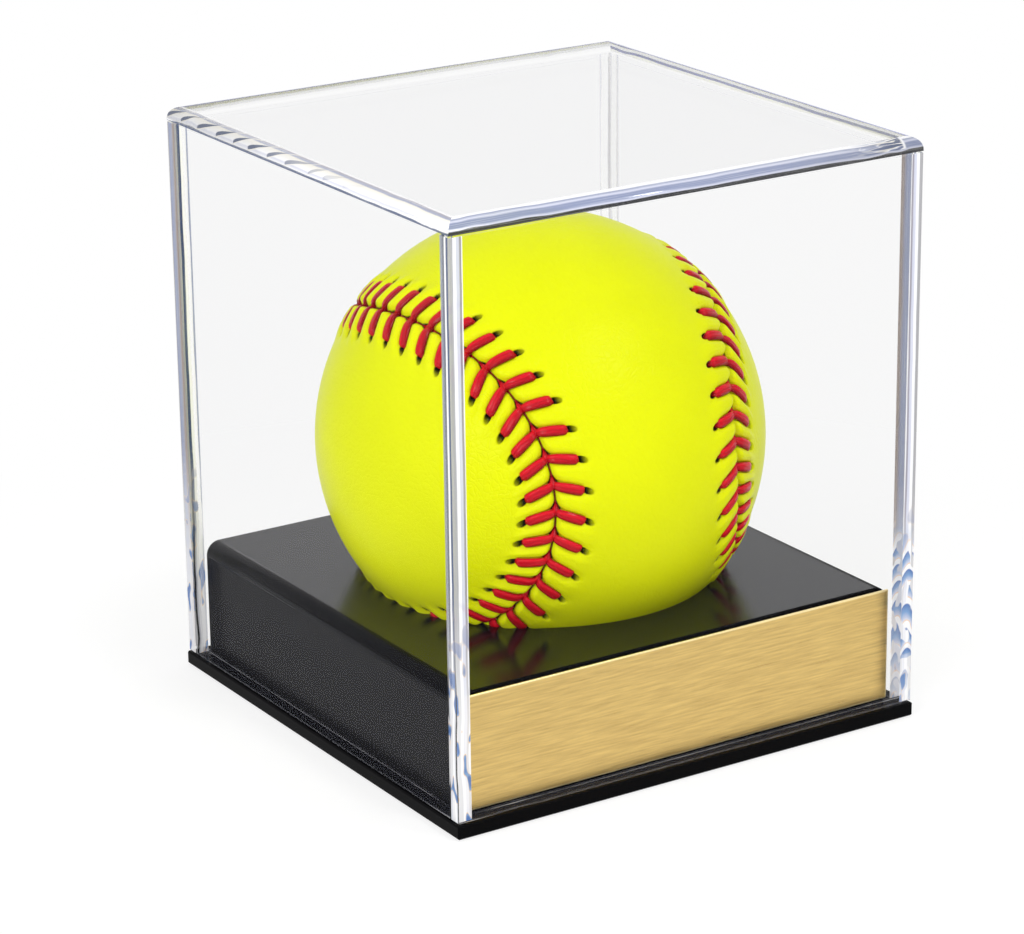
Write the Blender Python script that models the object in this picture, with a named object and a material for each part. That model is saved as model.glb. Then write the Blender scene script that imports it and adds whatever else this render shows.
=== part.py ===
"""Softball display case, in metres, +Z up, origin at the centre of the base plate's underside.

A black base plate carries a riser that is bent from one black sheet. The ball rests in a round
seat in the riser's top, on its raised seam. A clear cover of five bonded panels stands on the
base plate around the riser and lifts straight off. The ball has a core, two figure-eight cover
panels and two red threads, each with one half of the stitches.
"""

import bisect
import math

import bmesh
import bpy
from mathutils import Euler, Matrix, Vector

# Gap that pieces keep where they touch
CONTACT_GAP = 0.0003

# Ball
BALL_RADIUS = 0.048
BALL_TURN_DEG = (93.0, -43.0, 176.0)
SEAM_WAVE_SHARE = 0.27
SEAM_GAP = 0.0006
SEAM_EDGE_ROLL = 0.0003
LEATHER_EDGE = 0.0006
CORE_FACET_ROOM = 0.0005

# Stitches
STITCHES_PER_THREAD = 44
THREAD_THICKNESS = 0.0008
THREAD_WIDTH = 0.0015
SPINE_WIDTH = 0.0012
SPINE_DEPTH = 0.0002
SPINE_END_ROOM = 0.0004
STITCH_REACH = 0.007
STITCH_LEAN = 0.0022
STITCH_END_ROOM = 0.0005
STITCH_END_DIP = 0.0001
STITCH_START_ROOM = 0.0002

# Bed that the stitches press into the leather
BED_DEPTH = 0.0007
BED_SIDE_ROOM = 0.0005
BED_RISE = 0.0011
BED_SLOPE = 0.003

# Room around the ball in the case
BALL_SIDE_ROOM = 0.00575
BALL_HEAD_ROOM = 0.01685
BALL_FLOOR_ROOM = 0.00675
BALL_SINK = 0.0182

# Base plate
BASE_THICKNESS = 0.003
BASE_MARGIN = 0.0004
BASE_EDGE_BREAK = 0.0003

# Cover
COVER_WALL = 0.003
COVER_TOP_THICKNESS = 0.003
COVER_TOP_ROUND = 0.0026
COVER_EDGE_BREAK = 0.00015

# Riser
RISER_SHEET = 0.003
RISER_CLEARANCE = 0.0004
RISER_BEND_RADIUS = 0.004
RISER_PANEL_EDGE_BREAK = 0.00015
SEAT_BEVEL = 0.0015
CUT_OVERRUN = 0.002

# Brass plate and its adhesive
PLATE_THICKNESS = 0.0005
PLATE_MARGIN = 0.0005
PLATE_EDGE_BREAK = 0.0001
ADHESIVE_THICKNESS = 0.0002
ADHESIVE_MARGIN = 0.001

# Facets
SEAM_STATIONS = 128
OUTER_SPANS = 10
INNER_SPANS = 6
BEND_STEPS = 6
TOP_ROUND_STEPS = 5
SEAT_STEPS = 64
CORE_SUBDIVISIONS = 4
ARC_TABLE_STEPS = 2880

# The seam starts at this angle of its formula, at the back of the ball, and both threads end half a lap on
THREAD_START = math.radians(45.0)
PANEL_TIP = math.radians(-45.0)

# Sizes that follow
THREAD_PROUD = THREAD_THICKNESS + CONTACT_GAP - BED_DEPTH
BALL_OUTER_RADIUS = BALL_RADIUS + max(THREAD_PROUD, 0.0)
SPINE_BOTTOM = SPINE_DEPTH + THREAD_THICKNESS
VALLEY_DEPTH = SPINE_BOTTOM + CONTACT_GAP
SEAM_EDGE_DEPTH = VALLEY_DEPTH + SEAM_EDGE_ROLL
LEATHER_INNER_RADIUS = BALL_RADIUS - SEAM_EDGE_DEPTH - LEATHER_EDGE
CORE_RADIUS = LEATHER_INNER_RADIUS - CORE_FACET_ROOM - CONTACT_GAP
VALLEY_REACH = SPINE_WIDTH / 2 + BED_SIDE_ROOM
BED_START = VALLEY_REACH + BED_RISE
BED_END = STITCH_REACH + STITCH_END_ROOM
FIELD_START = BED_END + BED_SLOPE

SEAT_TOUCH_RADIUS = BALL_OUTER_RADIUS + CONTACT_GAP
SEAT_RISE = SEAT_TOUCH_RADIUS - BALL_SINK
SEAT_RADIUS = math.sqrt(SEAT_TOUCH_RADIUS**2 - SEAT_RISE**2)
RISER_HEIGHT = BALL_FLOOR_ROOM + BALL_SINK + SEAT_BEVEL / 2
RISER_BOTTOM = BASE_THICKNESS + CONTACT_GAP
RISER_TOP = RISER_BOTTOM + RISER_HEIGHT
BALL_CENTRE_HEIGHT = RISER_TOP - SEAT_BEVEL / 2 + SEAT_RISE

COVER_INSIDE = 2 * (BALL_RADIUS + BALL_SIDE_ROOM)
COVER_SIDE = COVER_INSIDE + 2 * COVER_WALL
COVER_BOTTOM = BASE_THICKNESS + CONTACT_GAP
COVER_TOP_UNDERSIDE = BALL_CENTRE_HEIGHT + BALL_OUTER_RADIUS + BALL_HEAD_ROOM
COVER_WALL_HEIGHT = COVER_TOP_UNDERSIDE - CONTACT_GAP - COVER_BOTTOM
BASE_SIDE = COVER_SIDE + 2 * BASE_MARGIN

RISER_WIDTH = COVER_INSIDE - 2 * RISER_CLEARANCE
PLATE_STACK = PLATE_THICKNESS + CONTACT_GAP + ADHESIVE_THICKNESS + CONTACT_GAP
RISER_FRONT = -COVER_INSIDE / 2 + RISER_CLEARANCE + PLATE_STACK
RISER_BACK = COVER_INSIDE / 2 - RISER_CLEARANCE
RISER_DEPTH = RISER_BACK - RISER_FRONT
RISER_MIDDLE = (RISER_BACK + RISER_FRONT) / 2


def clear_scene():
    for old in list(bpy.data.objects):
        bpy.data.objects.remove(old, do_unlink=True)


def finish_material(name, color, roughness, metallic=0.0, transmission=0.0, coat=0.0):
    material = bpy.data.materials.new(name)
    material.use_nodes = True
    shader = material.node_tree.nodes["Principled BSDF"]
    shader.inputs["Base Color"].default_value = (*color, 1.0)
    shader.inputs["Roughness"].default_value = roughness
    shader.inputs["Metallic"].default_value = metallic
    shader.inputs["Transmission Weight"].default_value = transmission
    shader.inputs["Coat Weight"].default_value = coat
    return material


def add_object(name, mesh, material, parent=None):
    if not mesh.materials:
        mesh.materials.append(material)
    piece = bpy.data.objects.new(name, mesh)
    bpy.context.scene.collection.objects.link(piece)
    piece.parent = parent
    return piece


def add_pivot(name, location, rotation=(0.0, 0.0, 0.0)):
    pivot = bpy.data.objects.new(name, None)
    bpy.context.scene.collection.objects.link(pivot)
    pivot.location = location
    pivot.rotation_euler = Euler(rotation)
    return pivot


def mesh_from_bmesh(name, shape, smooth=False):
    bmesh.ops.recalc_face_normals(shape, faces=shape.faces)
    mesh = bpy.data.meshes.new(name)
    shape.to_mesh(mesh)
    shape.free()
    if smooth:
        mesh.shade_smooth()
    return mesh


def soften_edges(piece, width):
    """A small flat on every edge, as a saw or a polisher leaves it."""
    bevel = piece.modifiers.new("edge_break", "BEVEL")
    bevel.width = width
    bevel.segments = 1
    bevel.limit_method = "ANGLE"


def box_mesh(name, size):
    """A box of that size about its own centre."""
    shape = bmesh.new()
    bmesh.ops.create_cube(shape, size=1.0, matrix=Matrix.Diagonal((*size, 1.0)))
    return mesh_from_bmesh(name, shape)


def add_panel(name, size, centre, material, edge_break, parent=None):
    """A flat panel. Its centre is in the world, also where it has a parent."""
    piece = add_object(name, box_mesh(name, size), material, parent)
    offset = parent.location if parent else Vector()
    piece.location = Vector(centre) - offset
    soften_edges(piece, edge_break)
    return piece


def arc_points(centre, radius, start_deg, end_deg, steps):
    """Points of an arc, both ends included."""
    for step in range(steps + 1):
        angle = math.radians(start_deg + (end_deg - start_deg) * step / steps)
        yield centre[0] + radius * math.cos(angle), centre[1] + radius * math.sin(angle)


def bent_sheet_outline(width, height, sheet, bend_radius):
    """The outline of an inverted U in X and Z, with its feet at zero."""
    half = width / 2
    inner_bend = max(bend_radius - sheet, 0.0)
    inner_half = half - sheet
    outer_centre = half - bend_radius
    bend_height = height - bend_radius
    outer = [(half, 0.0)]
    outer += arc_points((outer_centre, bend_height), bend_radius, 0, 90, BEND_STEPS)
    outer += arc_points((-outer_centre, bend_height), bend_radius, 90, 180, BEND_STEPS)
    outer += [(-half, 0.0)]
    inner = [(-inner_half, 0.0)]
    inner += arc_points((-outer_centre, bend_height), inner_bend, 180, 90, BEND_STEPS)
    inner += arc_points((outer_centre, bend_height), inner_bend, 90, 0, BEND_STEPS)
    inner += [(inner_half, 0.0)]
    return outer + inner


def build_riser_shell(material):
    """One sheet bent down at both sides, with the ball's seat cut through its top."""
    outline = bent_sheet_outline(RISER_WIDTH, RISER_HEIGHT, RISER_SHEET, RISER_BEND_RADIUS)
    shape = bmesh.new()
    corners = [shape.verts.new((x, -RISER_DEPTH / 2, z)) for x, z in outline]
    face = shape.faces.new(corners)
    swept = bmesh.ops.extrude_face_region(shape, geom=[face])["geom"]
    moved = [item for item in swept if isinstance(item, bmesh.types.BMVert)]
    bmesh.ops.translate(shape, verts=moved, vec=(0.0, RISER_DEPTH, 0.0))
    shell = add_object("riser_shell", mesh_from_bmesh("riser_shell", shape), material)
    shell.location = (0.0, RISER_MIDDLE, RISER_BOTTOM)
    seat = build_seat_cutter()
    cut = shell.modifiers.new("ball_seat", "BOOLEAN")
    cut.operation = "DIFFERENCE"
    cut.solver = "EXACT"
    cut.object = seat
    return shell


def build_seat_cutter():
    """The seat: a bevel that lies along the ball where it touches, and a straight bore below."""
    slope = SEAT_RISE / SEAT_RADIUS
    top_radius = SEAT_RADIUS + slope * SEAT_BEVEL / 2
    bore_radius = SEAT_RADIUS - slope * SEAT_BEVEL / 2
    profile = (
        (top_radius + slope * CUT_OVERRUN, RISER_TOP + CUT_OVERRUN),
        (bore_radius, RISER_TOP - SEAT_BEVEL),
        (bore_radius, RISER_TOP - RISER_SHEET - CUT_OVERRUN),
    )
    shape = bmesh.new()
    rings = []
    for radius, height in profile:
        ring = []
        for step in range(SEAT_STEPS):
            angle = 2 * math.pi * step / SEAT_STEPS
            ring.append(shape.verts.new((radius * math.cos(angle), radius * math.sin(angle), height)))
        rings.append(ring)
    for upper, lower in zip(rings, rings[1:]):
        for step in range(SEAT_STEPS):
            after = (step + 1) % SEAT_STEPS
            shape.faces.new((upper[step], lower[step], lower[after], upper[after]))
    shape.faces.new(rings[0])
    shape.faces.new(rings[-1])
    cutter = bpy.data.objects.new("seat_cutter", mesh_from_bmesh("seat_cutter", shape))
    bpy.context.scene.collection.objects.link(cutter)
    cutter.hide_render = True
    cutter.display_type = "WIRE"
    return cutter


def build_riser(material):
    build_riser_shell(material)
    width = RISER_WIDTH - 2 * (RISER_SHEET + CONTACT_GAP)
    height = RISER_HEIGHT - RISER_SHEET - CONTACT_GAP
    middle = RISER_BOTTOM + height / 2
    front = RISER_FRONT + RISER_SHEET / 2
    back = RISER_BACK - RISER_SHEET / 2
    size = (width, RISER_SHEET, height)
    add_panel("riser_front_panel", size, (0.0, front, middle), material, RISER_PANEL_EDGE_BREAK)
    add_panel("riser_back_panel", size, (0.0, back, middle), material, RISER_PANEL_EDGE_BREAK)


def build_name_plate(brass, adhesive):
    """The blank brass plate over the riser's front, on its adhesive sheet."""
    width = RISER_WIDTH - 2 * PLATE_MARGIN
    height = RISER_HEIGHT - 2 * PLATE_MARGIN
    middle = RISER_BOTTOM + RISER_HEIGHT / 2
    adhesive_y = RISER_FRONT - CONTACT_GAP - ADHESIVE_THICKNESS / 2
    plate_y = adhesive_y - ADHESIVE_THICKNESS / 2 - CONTACT_GAP - PLATE_THICKNESS / 2
    plate_size = (width, PLATE_THICKNESS, height)
    add_panel("name_plate", plate_size, (0.0, plate_y, middle), brass, PLATE_EDGE_BREAK)
    sheet_width = width - 2 * ADHESIVE_MARGIN
    sheet_height = height - 2 * ADHESIVE_MARGIN
    sheet = box_mesh("plate_adhesive", (sheet_width, ADHESIVE_THICKNESS, sheet_height))
    add_object("plate_adhesive", sheet, adhesive).location = (0.0, adhesive_y, middle)


def build_base_plate(material):
    size = (BASE_SIDE, BASE_SIDE, BASE_THICKNESS)
    add_panel("base_plate", size, (0.0, 0.0, BASE_THICKNESS / 2), material, BASE_EDGE_BREAK)


def build_cover_top(material, pivot):
    """A flat panel whose four upper edges are rounded and meet in mitres."""
    half = COVER_SIDE / 2
    straight = COVER_TOP_THICKNESS - COVER_TOP_ROUND
    sections = [(half, 0.0)]
    centre = (half - COVER_TOP_ROUND, straight)
    sections += arc_points(centre, COVER_TOP_ROUND, 0, 90, TOP_ROUND_STEPS)
    shape = bmesh.new()
    rings = []
    for reach, height in sections:
        around = ((-reach, -reach), (reach, -reach), (reach, reach), (-reach, reach))
        rings.append([shape.verts.new((x, y, height)) for x, y in around])
    for lower, upper in zip(rings, rings[1:]):
        for corner in range(4):
            after = (corner + 1) % 4
            shape.faces.new((lower[corner], lower[after], upper[after], upper[corner]))
    shape.faces.new(rings[0])
    shape.faces.new(rings[-1])
    mesh = mesh_from_bmesh("cover_top_panel", shape)
    panel = add_object("cover_top_panel", mesh, material, pivot)
    panel.location = (0.0, 0.0, COVER_TOP_UNDERSIDE - COVER_BOTTOM)


def build_cover(material):
    """Five bonded panels. Front and back run the full width, and the sides stand between them."""
    pivot = add_pivot("cover_lift_axis", (0.0, 0.0, COVER_BOTTOM))
    build_cover_top(material, pivot)
    middle = COVER_BOTTOM + COVER_WALL_HEIGHT / 2
    offset = (COVER_SIDE - COVER_WALL) / 2
    wide = (COVER_SIDE, COVER_WALL, COVER_WALL_HEIGHT)
    narrow = (COVER_WALL, COVER_INSIDE - 2 * CONTACT_GAP, COVER_WALL_HEIGHT)
    walls = (
        ("cover_front_panel", wide, (0.0, -offset, middle)),
        ("cover_back_panel", wide, (0.0, offset, middle)),
        ("cover_left_panel", narrow, (-offset, 0.0, middle)),
        ("cover_right_panel", narrow, (offset, 0.0, middle)),
    )
    for name, size, centre in walls:
        add_panel(name, size, centre, material, COVER_EDGE_BREAK, pivot)


def seam_point(angle):
    """Unit vector to the seam, a closed wave round the ball that crosses its own equator four times."""
    wave = SEAM_WAVE_SHARE
    main = 1 - wave
    rise = 2 * math.sqrt(main * wave)
    x = main * math.cos(angle) + wave * math.cos(3 * angle)
    y = main * math.sin(angle) - wave * math.sin(3 * angle)
    return Vector((x, y, rise * math.sin(2 * angle)))


def seam_slope(angle):
    """Derivative of seam_point."""
    wave = SEAM_WAVE_SHARE
    main = 1 - wave
    rise = 2 * math.sqrt(main * wave)
    x = -main * math.sin(angle) - 3 * wave * math.sin(3 * angle)
    y = main * math.cos(angle) - 3 * wave * math.cos(3 * angle)
    return Vector((x, y, 2 * rise * math.cos(2 * angle)))


def beside_seam(angle, reach):
    """Unit vector to the point that lies reach along the ball's surface from the seam."""
    point = seam_point(angle)
    side = point.cross(seam_slope(angle)).normalized()
    turn = reach / BALL_RADIUS
    return point * math.cos(turn) + side * math.sin(turn)


def seam_angles_by_length(direction):
    """Cumulative seam length and angle along half the seam, from the threads' start."""
    lengths, angles = [0.0], [THREAD_START]
    step = direction * math.pi / ARC_TABLE_STEPS
    for index in range(ARC_TABLE_STEPS):
        angle = THREAD_START + (index + 0.5) * step
        lengths.append(lengths[-1] + seam_slope(angle).length * abs(step) * BALL_RADIUS)
        angles.append(THREAD_START + (index + 1) * step)
    return lengths, angles


def angle_at(length, table):
    lengths, angles = table
    after = min(max(bisect.bisect(lengths, length), 1), len(lengths) - 1)
    before = after - 1
    share = (length - lengths[before]) / (lengths[after] - lengths[before])
    return angles[before] + (angles[after] - angles[before]) * share


def spherical_between(first, second, share):
    """Unit vector on the great circle from first to second."""
    whole = first.angle(second)
    return (first * math.sin((1 - share) * whole) + second * math.sin(share * whole)) / math.sin(whole)


def add_panel_skin(shape, rings, spans):
    """One side of a cover panel: rings that follow the seam inwards, then ribs across the panel.

    The rings run round the whole seam and start at a tip, so stations i and -i mirror each other.
    Returns the outermost ring.
    """
    loops = []
    for reach, radius in rings:
        loop = []
        for station in range(SEAM_STATIONS):
            angle = PANEL_TIP + 2 * math.pi * station / SEAM_STATIONS
            loop.append(shape.verts.new(beside_seam(angle, reach) * radius))
        loops.append(loop)
    for outer, inner in zip(loops, loops[1:]):
        for station in range(SEAM_STATIONS):
            after = (station + 1) % SEAM_STATIONS
            shape.faces.new((outer[station], outer[after], inner[after], inner[station]))
    last = loops[-1]
    radius = rings[-1][1]
    ribs = [[last[0]]]
    for station in range(1, SEAM_STATIONS // 2):
        near, far = last[station], last[-station]
        rib = [near]
        for span in range(1, spans):
            direction = spherical_between(near.co.normalized(), far.co.normalized(), span / spans)
            rib.append(shape.verts.new(direction * radius))
        ribs.append(rib + [far])
    ribs.append([last[SEAM_STATIONS // 2]])
    for rib, after in zip(ribs, ribs[1:]):
        for span in range(spans):
            corners = [rib[min(span, len(rib) - 1)], rib[min(span + 1, len(rib) - 1)]]
            corners += [after[min(span + 1, len(after) - 1)], after[min(span, len(after) - 1)]]
            shape.faces.new(list(dict.fromkeys(corners)))
    return loops[0]


def cover_panel_mesh():
    """A figure-eight leather panel. Its edge is rolled down into the seam under the stitches."""
    outside = (
        (SEAM_GAP / 2, BALL_RADIUS - SEAM_EDGE_DEPTH),
        (VALLEY_REACH, BALL_RADIUS - VALLEY_DEPTH),
        (BED_START, BALL_RADIUS - BED_DEPTH),
        (BED_END, BALL_RADIUS - BED_DEPTH),
        (FIELD_START, BALL_RADIUS),
    )
    inside = ((SEAM_GAP / 2, LEATHER_INNER_RADIUS),)
    shape = bmesh.new()
    upper = add_panel_skin(shape, outside, OUTER_SPANS)
    lower = add_panel_skin(shape, inside, INNER_SPANS)
    for station in range(SEAM_STATIONS):
        after = (station + 1) % SEAM_STATIONS
        shape.faces.new((upper[station], lower[station], lower[after], upper[after]))
    bmesh.ops.triangulate(shape, faces=shape.faces)
    return mesh_from_bmesh("ball_cover_panel", shape, smooth=True)


def thread_section(angle, reach, bottom, top):
    """Lower and upper point of the thread's side at that reach from the seam."""
    direction = beside_seam(angle, reach)
    return direction * (BALL_RADIUS - bottom), direction * (BALL_RADIUS - top)


def add_stitch_leg(shape, root, middle_length, side, direction, table):
    """One leg of a V, from the spine's side face to its end in the leather."""
    bed_reach = BED_START + STITCH_START_ROOM
    bottom = BED_DEPTH - CONTACT_GAP
    stations = (
        (bed_reach, bottom, -THREAD_PROUD),
        (STITCH_REACH, bottom, -THREAD_PROUD + STITCH_END_DIP),
    )
    ring = root
    for reach, low, high in stations:
        lean = STITCH_LEAN * reach / STITCH_REACH
        angle = angle_at(middle_length + lean, table)
        along = seam_slope(angle).normalized() * direction * THREAD_WIDTH / 2
        centre_low, centre_high = thread_section(angle, side * reach, low, high)
        corners = (centre_low - along, centre_high - along, centre_high + along, centre_low + along)
        after = [shape.verts.new(corner) for corner in corners]
        for corner in range(4):
            following = (corner + 1) % 4
            shape.faces.new((ring[corner], ring[following], after[following], after[corner]))
        ring = after
    shape.faces.new(ring)


def thread_mesh(name, direction):
    """A thread along half the seam: a spine in the seam, and a V of two legs at each stitch."""
    table = seam_angles_by_length(direction)
    whole = table[0][-1]
    pitch = whole / STITCHES_PER_THREAD
    middles = [(stitch + 0.5) * pitch - STITCH_LEAN / 2 for stitch in range(STITCHES_PER_THREAD)]
    places = [SPINE_END_ROOM]
    for middle in middles:
        places += [middle - THREAD_WIDTH / 2, middle + THREAD_WIDTH / 2]
    places.append(whole - SPINE_END_ROOM)
    shape = bmesh.new()
    rings = []
    for length in places:
        angle = angle_at(length, table)
        near = thread_section(angle, -SPINE_WIDTH / 2, SPINE_BOTTOM, SPINE_DEPTH)
        far = thread_section(angle, SPINE_WIDTH / 2, SPINE_BOTTOM, SPINE_DEPTH)
        rings.append([shape.verts.new(corner) for corner in (*near, *far)])
    for index, (ring, after) in enumerate(zip(rings, rings[1:])):
        shape.faces.new((ring[0], after[0], after[2], ring[2]))
        shape.faces.new((ring[1], ring[3], after[3], after[1]))
        near_side = (ring[0], ring[1], after[1], after[0])
        far_side = (ring[2], ring[3], after[3], after[2])
        if index % 2:
            middle = middles[index // 2]
            add_stitch_leg(shape, near_side, middle, -1, direction, table)
            add_stitch_leg(shape, far_side, middle, 1, direction, table)
        else:
            shape.faces.new(near_side)
            shape.faces.new(far_side)
    for end in (rings[0], rings[-1]):
        shape.faces.new((end[0], end[1], end[3], end[2]))
    bmesh.ops.triangulate(shape, faces=shape.faces)
    return mesh_from_bmesh(name, shape)


def build_ball(core, leather, thread):
    turn = [math.radians(angle) for angle in BALL_TURN_DEG]
    pivot = add_pivot("ball_lift_axis", (0.0, 0.0, BALL_CENTRE_HEIGHT), turn)
    shape = bmesh.new()
    bmesh.ops.create_icosphere(shape, subdivisions=CORE_SUBDIVISIONS, radius=CORE_RADIUS)
    add_object("ball_core", mesh_from_bmesh("ball_core", shape, smooth=True), core, pivot)
    panel = cover_panel_mesh()
    add_object("ball_cover_panel_a", panel, leather, pivot)
    other = add_object("ball_cover_panel_b", panel, leather, pivot)
    other.rotation_euler = Euler((0.0, math.pi, 0.0))
    add_object("ball_thread_right", thread_mesh("ball_thread_right", 1), thread, pivot)
    add_object("ball_thread_left", thread_mesh("ball_thread_left", -1), thread, pivot)


def main():
    clear_scene()
    clear_acrylic = finish_material("clear_acrylic", (0.93, 0.95, 1.0), 0.03, transmission=1.0)
    black_acrylic = finish_material("black_acrylic", (0.02, 0.02, 0.022), 0.12, coat=0.5)
    satin_black = finish_material("satin_black_acrylic", (0.06, 0.06, 0.065), 0.32)
    brass = finish_material("brushed_brass", (0.66, 0.47, 0.2), 0.3, metallic=1.0)
    adhesive = finish_material("adhesive", (0.85, 0.85, 0.8), 0.6)
    core = finish_material("core", (0.75, 0.72, 0.6), 0.8)
    leather = finish_material("yellow_leather", (0.85, 0.95, 0.02), 0.45)
    thread = finish_material("red_thread", (0.7, 0.02, 0.03), 0.4)
    build_base_plate(black_acrylic)
    build_riser(satin_black)
    build_name_plate(brass, adhesive)
    build_cover(clear_acrylic)
    build_ball(core, leather, thread)


main()
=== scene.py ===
"""Looks of the softball display case: its clear cover, black stand, brass plate and stitched ball."""

import math
from functools import partialmethod

import bmesh
import bpy
import numpy as np
from bpy.props import FloatProperty, FloatVectorProperty, IntProperty, PointerProperty
from mathutils import Euler, Matrix, Vector


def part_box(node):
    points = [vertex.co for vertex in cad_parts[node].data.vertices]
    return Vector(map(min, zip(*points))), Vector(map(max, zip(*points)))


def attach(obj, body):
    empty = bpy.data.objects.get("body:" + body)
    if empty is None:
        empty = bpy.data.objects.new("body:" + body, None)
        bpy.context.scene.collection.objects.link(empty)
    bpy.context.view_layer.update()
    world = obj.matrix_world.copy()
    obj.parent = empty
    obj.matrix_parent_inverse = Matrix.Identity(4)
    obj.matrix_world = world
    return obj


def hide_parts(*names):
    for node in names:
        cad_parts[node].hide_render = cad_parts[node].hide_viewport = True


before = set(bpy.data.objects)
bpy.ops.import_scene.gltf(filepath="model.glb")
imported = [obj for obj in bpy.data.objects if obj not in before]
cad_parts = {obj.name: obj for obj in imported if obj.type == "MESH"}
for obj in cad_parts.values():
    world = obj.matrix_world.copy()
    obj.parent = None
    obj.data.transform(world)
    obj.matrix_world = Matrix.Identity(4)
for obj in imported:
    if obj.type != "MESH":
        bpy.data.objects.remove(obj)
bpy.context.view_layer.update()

bl_info = {
    "name": "Softball Display Case",
    "version": (1, 0, 0),
    "blender": (4, 5, 0),
    "location": "View3D > Sidebar > Display Case",
    "description": "Dresses the display case and its ball, and sets up the studio around them",
    "category": "Object",
}

MM = 0.001


def setting(name, description, default, kind=FloatProperty, **limits):
    return kind(name=name, description=description, default=default, **limits)


def color_property(*words):
    return setting(*words, kind=FloatVectorProperty, size=3, min=0.0, max=1.0, subtype="COLOR")


def length_property(*words):
    return setting(*words, min=0.0, subtype="DISTANCE", unit="LENGTH", precision=5)


def angle_property(*words):
    return setting(*words, subtype="ANGLE")


class BallSettings(bpy.types.PropertyGroup):
    """Leather panels and lacing of the ball."""

    radius: length_property("Radius", "Radius of the leather between its seams", 48.0 * MM)
    turn: setting(
        "Turn", "How the ball lies in its seat", [math.radians(angle) for angle in (93.0, -43.0, 176.0)],
        kind=FloatVectorProperty, subtype="EULER", unit="ROTATION",
    )
    wave: setting("Seam wave", "How far the seam swings", 0.27, min=0.1, max=0.4)
    stitches: setting("Stitches", "Stitches in each half of the seam", 44, kind=IntProperty, min=8)
    stitch_reach: length_property("Stitch reach", "From the seam to a leg's hole", 5.5 * MM)
    stitch_lean: length_property("Stitch lean", "How far a leg's end lies along the seam", 1.9 * MM)
    thread_width: length_property("Thread width", "Width of the flat thread", 2.15 * MM)
    thread_thickness: length_property("Thread thickness", "Thickness of the flat thread", 1.0 * MM)
    leather: color_property("Leather", "Optic yellow cover", (0.83, 0.89, 0.003))
    thread: color_property("Thread", "Waxed red lacing", (0.7, 0.007, 0.02))


class StandSettings(bpy.types.PropertyGroup):
    """Riser, base plate and brass plate."""

    bend_radius: length_property("Bend radius", "Outer radius of the riser's two bends", 3.2 * MM)
    sheet: length_property("Sheet", "Thickness of the riser's sheet", 3.0 * MM)
    seat_bevel: length_property("Seat bevel", "Height of the seat's bevel", 1.5 * MM)
    # Painted dark reflection: the bends keep the darker Riser colour, and the sides below them get the
    # lighter Riser sides colour
    riser: color_property("Riser", "Black sheet", (0.003, 0.003, 0.0032))
    # Painted sheen: the top is a lit copy of the same black sheet, with its own colour and a higher
    # reflectance
    riser_top_sheen: color_property("Riser top", "Gloss black on top", (0.006, 0.006, 0.009))
    riser_side: color_property("Riser sides", "Satin black below the bends", (0.014, 0.014, 0.015))
    base: color_property("Base", "Gloss black plate", (0.003, 0.003, 0.0035))
    brass: color_property("Brass", "Brushed brass", (0.81, 0.51, 0.185))
    # Painted highlight: the polished rim is given this lighter brass for the light it catches
    brass_rim_highlight: color_property("Brass edge", "Polished edge of the brass", (0.98, 0.8, 0.42))


class CoverSettings(bpy.types.PropertyGroup):
    """Clear acrylic cover."""

    edge_break: length_property("Edge break", "Flat on the sheet's edges", 0.15 * MM)
    top_round: length_property("Top round", "Radius of the top's outer edges", 2.6 * MM)
    tint: color_property("Tint", "Colour of the film that the faces show", (0.07, 0.075, 0.11))


class StudioSettings(bpy.types.PropertyGroup):
    """Camera, lamps and floor."""

    camera_place: setting(
        "Camera", "Place of the camera", (-0.4103, -0.6349, 0.3112),
        kind=FloatVectorProperty, subtype="TRANSLATION", unit="LENGTH",
    )
    azimuth: angle_property("Azimuth", "Where the camera looks, from +Y", math.radians(-32.41))
    elevation: angle_property("Elevation", "How steeply the camera looks down", math.radians(18.98))
    roll: angle_property("Roll", "Turn of the camera about its view", math.radians(-0.73))
    lens: setting("Lens", "Focal length in millimetres", 131.4, min=1.0)
    world: setting("World", "Strength of the even light", 0.66, min=0.0)
    key: setting("Key", "Power of the main lamp", 2.3, min=0.0, unit="POWER")
    fill: setting("Fill", "Power of the left lamp", 3.3, min=0.0, unit="POWER")


class Step:
    """What the operators share: each builds from its own group of settings."""

    bl_options = {"REGISTER", "UNDO"}

    def execute(self, context):
        self.build(getattr(context.scene, self.group))
        return {"FINISHED"}


def fill(socket, value):
    """Sets a socket, or links it to what feeds it. Colours are given without their alpha."""
    if isinstance(value, Value):
        value = value.socket
    if isinstance(value, bpy.types.NodeSocket):
        socket.id_data.links.new(value, socket)
    else:
        socket.default_value = (*value, 1.0) if socket.type == "RGBA" else value


def add_node(tree, kind, inputs=None, **settings):
    """A node with its settings and inputs. An input is a value, or what feeds it."""
    made = tree.nodes.new(kind)
    for name, value in settings.items():
        setattr(made, name, value)
    for key, value in (inputs or {}).items():
        fill(made.inputs[key], value)
    return made


def add_value(tree, kind, inputs=None, output=0, **settings):
    return Value(add_node(tree, kind, inputs, **settings).outputs[output])


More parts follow.
